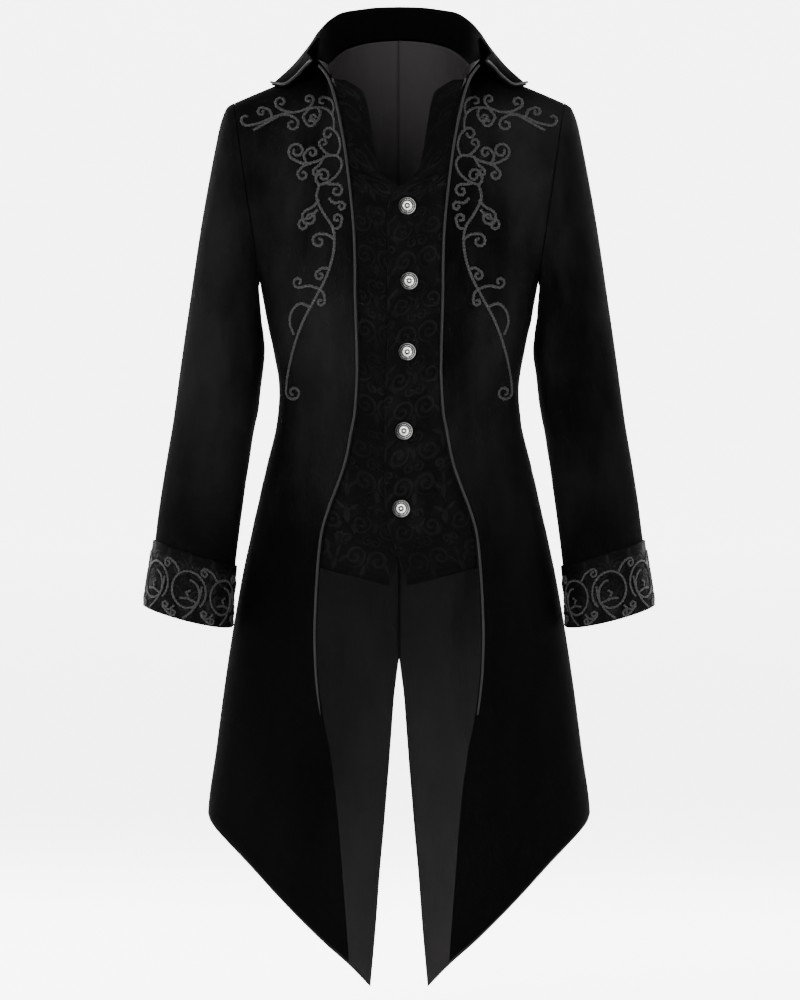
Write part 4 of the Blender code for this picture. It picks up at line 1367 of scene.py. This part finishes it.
def velvet_look():
    """Short dense pile: brushed patches and fine tufts, with painted light that lightens it from below the hip up to
    the chest, and painted shade that darkens it at the collar.
    """
    n = Nodes("scene_velvet", 0.85, 0.004, sheen=0.0035, sheen_roughness=0.3)
    where = n.place()
    height = n.put("ShaderNodeSeparateXYZ", {"Vector": where}).outputs[2]
    patches = n.noise(n.stretched(where, (1.0, 1.0, 0.4)), 8.0, 5.0, 0.6)
    crush = n.noise(n.stretched(where, (1.0, 1.0, 0.55)), 46.0, 4.0, 0.6)
    tufts = n.noise(where, 1500.0, 2.0, 0.7)
    # Painted light: this factor grows from 0.1 below the hip to 1 at the chest line and lightens the pile there.
    # Painted shade then takes it to nothing at the top, over the collar.
    worn = n.math("ADD", 0.1, n.math("MULTIPLY", 0.9, n.soft(height, -0.75, -0.3)))
    worn = n.math("MULTIPLY", worn, n.soft(height, 0.0, -0.05))
    share = n.math("MULTIPLY", n.soft(patches, 0.3, 0.7), n.math("ADD", 0.6, n.math("MULTIPLY", crush, 0.8)))
    share = n.math("MULTIPLY", share, n.math("MULTIPLY", worn, 0.85))
    share = n.math("ADD", share, n.math("MULTIPLY", tufts, 0.2))
    n.paint(n.colour(share, *VELVET_TONES))
    n.bump(patches, 0.0016, 0.5)
    n.bump(crush, 0.0008, 0.5)
    n.bump(n.noise(n.stretched(where, (1.0, 1.0, 0.5)), 520.0, 3.0), 0.00035, 0.6)
    n.bump(tufts, 0.0003, 0.7)
    return n.look


def satin_look(name, dark, light, roughness):
    """Satin lining: a fine twill weave and soft crinkles, with painted light that makes it lighter towards the neck;
    it is also a little lighter towards the hem.
    """
    n = Nodes(name, roughness, 0.035)
    where = n.place()
    height = n.put("ShaderNodeSeparateXYZ", {"Vector": where}).outputs[2]
    broad = n.noise(n.stretched(where, (1.0, 1.0, 0.5)), 6.0, 3.0)
    # Painted light: lighter over the top 30 cm, towards the neck. The next line makes it a little lighter towards the
    # hem.
    share = n.math("ADD", n.math("MULTIPLY", n.soft(broad, 0.35, 0.7), 0.35), n.soft(height, -0.3, -0.05))
    share = n.math("ADD", share, n.math("MULTIPLY", n.soft(height, -0.8, -1.1), 0.18))
    n.paint(n.colour(share, dark, light))
    crinkles = n.noise(n.stretched(where, (1.6, 1.6, 0.35)), 24.0, 4.0, 0.6)
    n.bump(crinkles, 0.0035, 0.5)
    weave = n.put("ShaderNodeTexWave", {"Vector": where, "Scale": 620.0, "Distortion": 1.4},
                  wave_type="BANDS", bands_direction="DIAGONAL").outputs["Fac"]
    n.bump(weave, 0.0002, 0.5)
    n.rough(weave, roughness - 0.05, roughness + 0.08)
    return n.look


def curl_mask(n, u, v, centre, radius, turns, hand, width):
    """A spiral line inside a disc."""
    across = n.math("SUBTRACT", u, centre[0])
    up = n.math("SUBTRACT", v, centre[1])
    reach = n.math("SQRT", n.math("ADD", n.math("MULTIPLY", across, across), n.math("MULTIPLY", up, up)))
    angle = n.math("MULTIPLY", n.math("ARCTAN2", up, across), hand / (2 * math.pi))
    phase = n.math("FRACT", n.math("ADD", angle, n.math("MULTIPLY", reach, turns / radius)))
    aside = n.math("MULTIPLY", n.math("ABSOLUTE", n.math("SUBTRACT", phase, 0.5)), radius / turns)
    line = n.soft(aside, width, width * 0.55)
    return n.math("MULTIPLY", line, n.soft(reach, radius, radius * 0.95))


def leaf_mask(n, u, v, centre, half, tilt):
    """A filled leaf: an oval at a tilt."""
    across = n.math("SUBTRACT", u, centre[0])
    up = n.math("SUBTRACT", v, centre[1])
    c, s = math.cos(tilt), math.sin(tilt)
    along = n.math("ADD", n.math("MULTIPLY", across, c / half[0]), n.math("MULTIPLY", up, s / half[0]))
    aside = n.math("ADD", n.math("MULTIPLY", across, -s / half[1]), n.math("MULTIPLY", up, c / half[1]))
    pinch = n.math("MAXIMUM", 0.05, n.math("SUBTRACT", 1.0, n.math("MULTIPLY", along, along)))
    bulge = n.math("DIVIDE", n.math("MULTIPLY", aside, aside), pinch)
    return n.soft(n.math("ADD", n.math("MULTIPLY", along, along), bulge), 1.0, 0.8)


def brocade_look(name, repeat, ground, figure):
    """Tone-on-tone jacquard: a mirrored scroll and leaf repeat over a ribbed ground."""
    n = Nodes(name, 0.6, 0.01)
    split = n.put("ShaderNodeSeparateXYZ", {"Vector": n.cloth()})
    warp = n.math("MULTIPLY", n.math("SUBTRACT", n.noise(n.place(), 60.0, 2.0), 0.5), 0.03)
    u = n.math("PINGPONG", n.math("DIVIDE", split.outputs[0], repeat), 0.5)
    v = n.math("MODULO", n.math("ADD", n.math("DIVIDE", split.outputs[1], repeat), 40.0), REPEAT_HEIGHT)
    u = n.math("ADD", u, warp)
    shapes = [curl_mask(n, u, v, *row) for row in REPEAT_CURLS]
    shapes += [leaf_mask(n, u, v, *row) for row in REPEAT_LEAVES]
    mask = shapes[0]
    for shape in shapes[1:]:
        mask = n.math("MAXIMUM", mask, shape)
    ribs = n.put("ShaderNodeTexWave", {"Vector": n.cloth(), "Scale": 330.0, "Distortion": 0.6},
                 wave_type="BANDS", bands_direction="Y").outputs["Fac"]
    floats = n.put("ShaderNodeTexWave", {"Vector": n.cloth(), "Scale": 260.0, "Distortion": 0.8},
                   wave_type="BANDS", bands_direction="DIAGONAL").outputs["Fac"]
    along = n.math("DIVIDE", split.outputs[1], repeat)
    folded = n.put("ShaderNodeCombineXYZ", {"X": u, "Y": along}).outputs[0]
    cloud = n.soft(n.noise(folded, 2.6, 4.0, 0.6), 0.42, 0.68)
    worn = n.soft(n.noise(n.place(), 11.0, 4.0), 0.35, 0.7)
    shade = n.math("MULTIPLY", mask, n.math("ADD", 0.15, n.math("MULTIPLY", worn, 0.7)))
    drift = n.math("MULTIPLY", cloud, n.math("ADD", 0.15, n.math("MULTIPLY", worn, 0.8)))
    woven = n.math("ADD", 0.7, n.math("MULTIPLY", floats, 0.3))
    n.paint(n.colour(n.math("MULTIPLY", n.math("ADD", shade, drift), woven), ground, figure))
    n.rough(mask, 0.62, FIGURE_ROUGHNESS)
    n.bump(mask, 0.0005, 0.8)
    n.bump(ribs, 0.0002, 0.5)
    n.bump(floats, 0.00016, 0.4)
    return n.look


def braid_look(name, dark, light, scale):
    """Yarn: fine slanting threads, a fuzz of fibres and a little wear."""
    n = Nodes(name, 0.62, 0.08, sheen=0.02)
    wave = {"Vector": n.stretched(n.cloth(), (scale, 3.0, 1.0)), "Scale": 1.0, "Distortion": 0.8}
    threads = n.put("ShaderNodeTexWave", wave, wave_type="BANDS", bands_direction="DIAGONAL")
    fuzz = n.noise(n.place(), 900.0, 3.0)
    tone = n.noise(n.place(), 30.0, 3.0)
    share = n.math("ADD", n.math("MULTIPLY", threads.outputs["Fac"], 0.55), n.math("MULTIPLY", tone, 0.45))
    n.paint(n.colour(share, dark, light))
    n.bump(threads.outputs["Fac"], 0.0004, 0.7)
    n.bump(fuzz, 0.0002, 0.5)
    return n.look


def silver_look():
    """Antique silver: bright where it is raised, dark in its hollows and towards its rim, with a painted highlight on
    the crest of its dome and painted shade towards its left edge.
    """
    n = Nodes("scene_silver", 0.3, 0.5, metallic=1.0)
    cavity = n.put("ShaderNodeAttribute", attribute_name="raised").outputs["Fac"]
    stain = n.soft(n.noise(n.place(), 130.0, 4.0), 0.34, 0.62)
    lit = n.math("MULTIPLY", n.soft(cavity, 0.12, 0.85), n.math("ADD", 0.35, n.math("MULTIPLY", stain, 0.65)))
    # Painted highlight: brighter on the crest of the dome and a little more to its right, with painted shade falling
    # off towards its edge, darkest on its left.
    box = n.put("ShaderNodeSeparateXYZ", {"Vector": n.put("ShaderNodeTexCoord").outputs["Generated"]})
    painted_highlight = n.soft(n.math("ADD", box.outputs[2], n.math("MULTIPLY", box.outputs[0], 0.5)), 0.45, 1.25)
    lit = n.math("MULTIPLY", lit, n.math("ADD", 0.07, n.math("MULTIPLY", painted_highlight, 0.93)))
    n.paint(n.colour(lit, *SILVER_TONES))
    n.rough(n.math("SUBTRACT", 1.0, lit), 0.22, 0.55)
    n.bump(n.noise(n.stretched(n.place(), (1.0, 1.0, 8.0)), 700.0, 3.0), 0.00006, 0.5)
    return n.look


def sampled(grid, row, column):
    """Places of a closed grid between its corners. Columns go on round."""
    rows, columns = grid.shape[:2]
    row = np.clip(row, 0, rows - 1.001)
    i, j = np.floor(row).astype(int), np.floor(column).astype(int)
    s, t = (row - i)[:, None], (column - j)[:, None]
    j, k = j % columns, (j + 1) % columns
    upper = grid[i, j] * (1 - t) + grid[i, k] * t
    lower = grid[i + 1, j] * (1 - t) + grid[i + 1, k] * t
    return upper * (1 - s) + lower * s


def fine_vest(lap):
    """A waistcoat front's outer face, with the coat's front above it as its guide."""
    levels = finer(vest_levels(), VEST_PARTS)
    body = np.array([finer(vest_columns(lap, level), VEST_PARTS) for level in levels])
    across, level = vest_hem(lap)
    hem_across, hem_level = finer(across, VEST_PARTS), finer(level, VEST_PARTS)
    share = (np.arange(VEST_PARTS) / VEST_PARTS)[:, None]
    across = np.concatenate([hem_across * (1 - share) + body[0] * share, body])
    level = np.concatenate(
        [hem_level * (1 - share) + levels[0] * share, np.broadcast_to(levels[:, None], body.shape)]
    )
    place = front(across, level)
    sunk = vest_offset(across, place[..., 0], lap)
    grid = place - vertex_normals(place) * sunk[..., None]
    side = 1 if lap == "over" else -1
    return grid + vertex_normals(grid) * crease_height(grid, VEST_CREASES, side)[..., None]


def fine_sleeve(rings, outward, side):
    """The sleeve or cuff on finer rings and turns, with its smaller folds."""
    joined_turns = finer(np.append(armhole_turns(), 2 * np.pi), SLEEVE_PARTS)[:-1]
    even = np.linspace(0, 2 * np.pi, len(joined_turns), endpoint=False)
    ring = np.asarray(rings, float)[:, None]
    turn = joined_turns + (even - joined_turns) * ease(0, 4, ring)
    place = sleeve(ring, turn)
    normal = ring_normals(place)
    spoke = place - place.mean(axis=1, keepdims=True)
    normal = normal * np.sign(np.sum(normal * spoke, axis=-1, keepdims=True))
    folds = np.zeros(turn.shape)
    for at_ring, at_turn, along, around, depth, lean in FINE_SLEEVE_FOLDS[side]:
        aside = (turn - at_turn + np.pi) % (2 * np.pi) - np.pi
        forward = ring - at_ring - lean * aside
        folds = folds + depth * np.exp(-((forward / along) ** 2) - (aside / around) ** 2)
    calm = ease(*CALM_TOP, ring) * (1 - ease(*CALM_CUFF, ring))
    return place + normal * (outward - folds * calm)[..., None]


def refined(grid, axis, parts):
    """Smooths a grid between its own rows or columns."""
    lines = np.moveaxis(grid, axis, 0)
    steps = np.linalg.norm(np.diff(lines, axis=0), axis=-1).mean(axis=1)
    marks = np.concatenate([[0], np.cumsum(steps)])
    at = finer(marks, parts)
    fine = [[smooth(marks, lines[:, j, k], at) for k in range(3)] for j in range(lines.shape[1])]
    return np.moveaxis(np.array(fine).transpose(2, 0, 1), 0, axis)


def fine_collar():
    """The collar's left half, smoothed between the part's rows and columns."""
    half = refined(refined(collar_half(), 0, COLLAR_PARTS), 1, COLLAR_PARTS)
    half[:, -1, 0] = 0
    return half


def button_piece(number, place, outward, look):
    """A cast button: a boss, petals, a ring of beads and a rope rim, dark in its hollows."""
    reach = np.linspace(0, 1, BUTTON_RINGS)[:, None]
    turn = np.linspace(0, 2 * np.pi, BUTTON_SIDES, endpoint=False)[None]
    dome = np.sqrt(np.clip(1 - (0.93 * reach) ** 2, 0, 1)) * 0.85
    petals = np.abs(np.cos(turn * PETALS / 2)) ** 0.7 * np.exp(-(((reach - 0.42) / 0.15) ** 2))
    veins = np.abs(np.sin(turn * PETALS / 2)) ** 6 * np.exp(-(((reach - 0.46) / 0.12) ** 2))
    boss = np.exp(-((reach / 0.14) ** 4)) + 0 * turn
    beads = (0.5 + 0.5 * np.cos(turn * BEADS)) * np.exp(-(((reach - 0.72) / 0.055) ** 2))
    rim = (0.75 + 0.25 * np.cos(turn * BEADS * 1.5)) * np.exp(-(((reach - 0.92) / 0.06) ** 2))
    raised = np.clip(boss + 0.9 * petals + 0.5 * veins + beads + rim, 0, 1.2)
    height = (dome + 0.15 * raised) * BUTTON_HEIGHT * np.clip((1.002 - reach) / 0.03, 0, 1) ** 0.5
    flat = BUTTON_RADIUS * reach
    grid = points(flat * np.cos(turn), flat * np.sin(turn), height)
    faces = quads(BUTTON_RINGS, BUTTON_SIDES, True)
    faces.append(tuple((BUTTON_RINGS - 1) * BUTTON_SIDES + k for k in range(BUTTON_SIDES - 1, -1, -1)))
    made = mesh_piece(f"scene_button_{number}", grid.reshape(-1, 3), faces, (look,))
    mark = made.data.attributes.new("raised", "FLOAT", "POINT")
    # Darker towards the rim.
    worn = raised * (1 - RIM_DARKENING * reach**2)
    mark.data.foreach_set("value", worn.reshape(-1).astype(np.float32))
    made.location = Vector((place + outward * SEAM_GAP) * METRES)
    made.rotation_mode = "QUATERNION"
    made.rotation_quaternion = Vector(outward).to_track_quat("Z", "Y")
    dressed(made, f"button_{number}", "antique_silver")


def dressed(made, node, slot_name):
    """Hangs a piece on the frame, in place of its solid where it has one."""
    if node:
        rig.replaces(made, node)
    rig.slot(made, slot_name)
    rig.ride(made, "root")
    return made


def tree_of(piece):
    """A piece's faces, ready for rays."""
    mesh = piece.data
    faces = [tuple(face.vertices) for face in mesh.polygons]
    return BVHTree.FromPolygons([corner.co for corner in mesh.vertices], faces)


def braid_tube(places, outward, look, size):
    """One stroke of braid."""
    section = braid_section(len(places), *size, BRAID_TWIST, BRAID_BEAD)
    return tube_piece("line", (places + outward * BRAID_LIFT, outward), section, look)


def chest_scroll(name, side, front_piece, look):
    """Grey braid laid on a front in the vine's strokes."""
    tree = tree_of(front_piece)
    parts = []
    for knots, curl in VINES:
        places, outward = on_surface(tree, stroke(knots, curl), side)
        parts.append(braid_tube(places, outward, look, CHEST_BRAID))
    return dressed(joined(f"scene_scroll_{name}", parts), None, "grey_piping")


def cuff_strokes(around, tall):
    """Strokes of the cuff's braid, on a strip as long as the cuff is around."""
    strokes = []
    for ring in range(RINGS):
        middle = np.array(((ring + 0.5) * around / RINGS, tall * RING_MIDDLE))
        turned = np.arange(0, 2 * np.pi * RING_TURNS, CORD_STEP / RING_RADIUS)
        wound = ease(2 * np.pi * RING_CLOSED, 2 * np.pi * RING_TURNS, turned)
        reach = RING_RADIUS * (1 - RING_WINDING * wound)
        angle = np.radians(RING_START) + turned
        drift = RING_DRIFT * RING_RADIUS * wound
        strokes.append(middle + np.stack([reach * np.cos(angle), reach * np.sin(angle) - drift], axis=-1))
        strokes.append(middle + spline(np.array(RING_TAIL) * RING_RADIUS, CORD_STEP))
        strokes += [middle + spline(np.array(leaf) * RING_RADIUS, CORD_STEP) for leaf in RING_LEAVES]
        for knots, (radius, turns, hand) in RING_CURLS:
            curl = (radius * RING_RADIUS, turns, hand)
            strokes.append(middle + stroke(np.array(knots) * RING_RADIUS, curl))
    return strokes


def cuff_scroll(name, side, grid, look):
    """Grey braid laid round a cuff."""
    rows, columns = grid.shape[:2]
    loop = np.concatenate([grid, grid[:, :1]], axis=1)
    around = np.linalg.norm(np.diff(loop, axis=1), axis=-1).sum(axis=1).mean()
    tall = np.linalg.norm(np.diff(grid, axis=0), axis=-1).sum(axis=0).mean()
    normal = ring_normals(grid)
    outer = np.sum(normal * (grid - grid.mean(axis=1, keepdims=True)), axis=-1).mean()
    normal = normal * np.sign(outer)
    parts = []
    for line in cuff_strokes(around, tall):
        row = line[:, 1] / tall * (rows - 1)
        column = line[:, 0] / around * columns + CUFF_SHIFT * columns
        places = sampled(grid, row, column) * (side, 1, 1)
        outward = eased(sampled(normal, row, column) * (side, 1, 1))
        parts.append(braid_tube(places, unit(outward), look, CUFF_BRAID))
    return dressed(joined(f"scene_cuff_scroll_{name}", parts), None, "grey_piping")


def rope(name, places, outward, side, look):
    """The corded edge of a front or of the collar, in place of its solid."""
    places, outward = resampled(places, outward, ROPE_STEP)
    route = (places * (side, 1, 1), outward * (side, 1, 1))
    section = rope_section(len(places), ROPE_STEP, PIPING_RADIUS, ROPE_PITCH)
    made = tube_piece(f"scene_piping_{name}", route, section, look)
    return dressed(made, f"piping_{name}", "grey_piping")


def sheet(made, kind, rests_on=(), with_pieces=()):
    """States a piece's cut."""
    width, length, area, held = SHEETS[kind]
    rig.sheet(made, flat=(width, length), held=held, rests_on=rests_on, area=area, with_pieces=with_pieces)


def closed_seam(grid, half_gap):
    """Brings the centre seam together above the vent, where the solids keep a gap."""
    last = grid[:, -1, 0]
    grid[:, -1, 0] = np.where(last < SEAM_REACH, half_gap, last)
    return grid


def fine_lining(grid):
    """The back lining, inside the creased back."""
    lining = grid - vertex_normals(grid) * LINING_DEPTH
    lining[-1] = lining[-2] + (lining[-1] - lining[-2]) * LINING_STOP
    return closed_seam(lining, LINING_LAP)


def piping_levels():
    """Finer levels of the front piping's route."""
    foot = (PIPING_FOOT - front(0.0, 0.0)[2]) / (HIP - front(0.0, 0.0)[2])
    return np.linspace(foot, PIPING_TOP, ROPE_PLACES)


def piping_lines(levels):
    """The piping's places and outward directions."""
    outward = front_normal(PIPING_INSET, levels)
    return front(PIPING_INSET, levels) + outward * PIPING_LIFT, outward


def all_looks():
    """Materials of the whole coat by name."""
    return {
        "velvet": velvet_look(),
        "vest": brocade_look("scene_vest_brocade", *VEST_JACQUARD),
        "cuff": brocade_look("scene_cuff_brocade", *CUFF_JACQUARD),
        "satin": satin_look("scene_lining", *SATIN_TONES, SATIN_ROUGHNESS),
        "cord": braid_look("scene_cord", *CORD_TONES, CORD_THREADS),
        "braid": braid_look("scene_braid", *BRAID_TONES, BRAID_THREADS),
        "silver": silver_look(),
    }


def worn(kind, node, name, slot_name, *cloth):
    """A piece of cloth on one side, in place of its solid."""
    return dressed(cloth_piece(f"scene_{kind}_{name}", *cloth), f"{node}_{name}", slot_name)


def dress_side(name, side, lap, looks):
    """One side of the coat. Gives its waistcoat front."""
    velvet, satin, jacquard = looks["velvet"], looks["satin"], looks["cuff"]
    levels = finer(PANEL_LEVELS, PANEL_PARTS)[:, None]
    front_grid = creased(front(finer(FRONT_ACROSS, PANEL_PARTS)[None], levels), FRONT_CREASES, side)
    back_grid = creased(back(finer(BACK_ACROSS, PANEL_PARTS)[None], levels), BACK_CREASES, side)
    back_grid = closed_seam(back_grid, SEAM_HALF)
    sleeve_grid = fine_sleeve(finer(SLEEVE_RINGS + (SLEEVE_TO,), SLEEVE_PARTS), 0, side)
    cuff_grid = fine_sleeve(finer(CUFF_RINGS, CUFF_PARTS), SEAM_GAP + CUFF_WALL, side)

    fronts = worn("front", "front", name, "black_velvet", front_grid, COAT_WALL, velvet, satin, side)
    backs = worn("back", "back", name, "black_velvet", back_grid, COAT_WALL, velvet, satin, side)
    lining = worn("lining", "lining_back", name, "grey_lining",
                  fine_lining(back_grid), LINING_WALL, satin, satin, side)
    vest = worn("vest", "vest", name, "black_brocade", fine_vest(lap), VEST_WALL, looks["vest"], satin, side)
    sleeves = worn("sleeve", "sleeve", name, "black_velvet",
                   sleeve_grid, COAT_WALL, velvet, satin, side, True, True)
    cuff = worn("cuff", "cuff", name, "black_brocade",
                cuff_grid, CUFF_WALL, jacquard, jacquard, side, True, True)
    edge = rope(name, *piping_lines(piping_levels()), side, looks["cord"])
    scroll = chest_scroll(name, side, fronts, looks["braid"])
    cuff_braid = cuff_scroll(name, side, cuff_grid, looks["braid"])

    sheet(fronts, "front", (), (edge, scroll))
    sheet(backs, "back")
    sheet(lining, "lining", (backs.name,))
    sheet(vest, "vest", (fronts.name,))
    sheet(sleeves, "sleeve")
    sheet(cuff, "cuff", (sleeves.name,), (cuff_braid,))
    return vest


def dress():
    """The whole coat over the frame's solids."""
    looks = all_looks()
    vest = dress_side("left", 1, "over", looks)
    dress_side("right", -1, "under", looks)

    half = fine_collar()
    shape = cloth_piece("scene_collar", mirrored(half), COLLAR_WALL, looks["velvet"], looks["velvet"])
    collar = dressed(shape, "collar", "black_velvet")
    route = collar_piping_route(half)
    outward = unit(route - mirrored(half[-1:] - (0, 0, ROPE_CORE_DROP))[0])
    sheet(collar, "collar", (), (rope("collar", route, outward, 1, looks["cord"]),))

    tree = tree_of(vest)
    for number, (x, z) in enumerate(BUTTONS, start=1):
        places, outward = on_surface(tree, [(x, z)], 1)
        button_piece(number, places[0], outward[0], looks["silver"])


def area_light(name, place, size, power):
    """A soft lamp that faces the coat."""
    light = bpy.data.lights.new(name, "AREA")
    light.shape = "RECTANGLE"
    light.size, light.size_y = size
    light.energy = power
    made = bpy.data.objects.new(name, light)
    made.location = place
    made.rotation_euler = (Vector(LAMP_AIM) - Vector(place)).to_track_quat("-Z", "Y").to_euler()
    bpy.context.scene.collection.objects.link(made)


def bowl():
    """A pale floor that rises all round, so that every view has the same background."""
    pale = Nodes("scene_sweep", 0.85, 0.1)
    pale.set("Emission Color", (1, 1, 1, 1))
    pale.set("Emission Strength", GLOW)
    pale.paint(pale.colour(pale.noise(pale.place(), 3.0), *FLOOR_TONES))
    profile = [(HUB, FLOOR)]
    for step in np.linspace(0, np.pi / 2, BEND_STEPS):
        profile.append((RIM - BEND + BEND * math.sin(step), FLOOR + BEND * (1 - math.cos(step))))
    profile.append((RIM, CEILING))
    turns = np.linspace(0, 2 * np.pi, BOWL_SIDES, endpoint=False)
    corners = [(r * math.cos(turn), r * math.sin(turn), z) for r, z in profile for turn in turns]
    faces = [face[::-1] for face in quads(len(profile), BOWL_SIDES, True)] + [tuple(range(BOWL_SIDES))]
    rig.stage(mesh_piece("scene_sweep", np.array(corners) / METRES, faces, (pale.look,)))


def camera():
    """The photograph's nearly level camera, far away."""
    data = bpy.data.cameras.new("photo")
    data.lens = LENS
    made = bpy.data.objects.new("photo", data)
    lift = math.radians(ELEVATION)
    made.location = Vector(AIM) + DISTANCE * Vector((0, -math.cos(lift), math.sin(lift)))
    made.rotation_euler = (Vector(AIM) - made.location).to_track_quat("-Z", "Y").to_euler()
    bpy.context.scene.collection.objects.link(made)
    bpy.context.scene.camera = made


def studio():
    """Pale bowl, soft lamps and the camera."""
    bowl()
    for lamp in LAMPS:
        area_light(*lamp)
    world = bpy.data.worlds.new("scene_world")
    bpy.context.scene.world = world
    world.use_nodes = True
    ambient = world.node_tree.nodes["Background"]
    ambient.inputs["Color"].default_value = (1, 1, 1, 1)
    ambient.inputs["Strength"].default_value = AMBIENT
    camera()


studio()
dress()
with open("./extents.json", "w") as out:
    json.dump({"cad": [list(v) for v in cad_box], "visual": [list(v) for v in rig.bounds()]}, out)
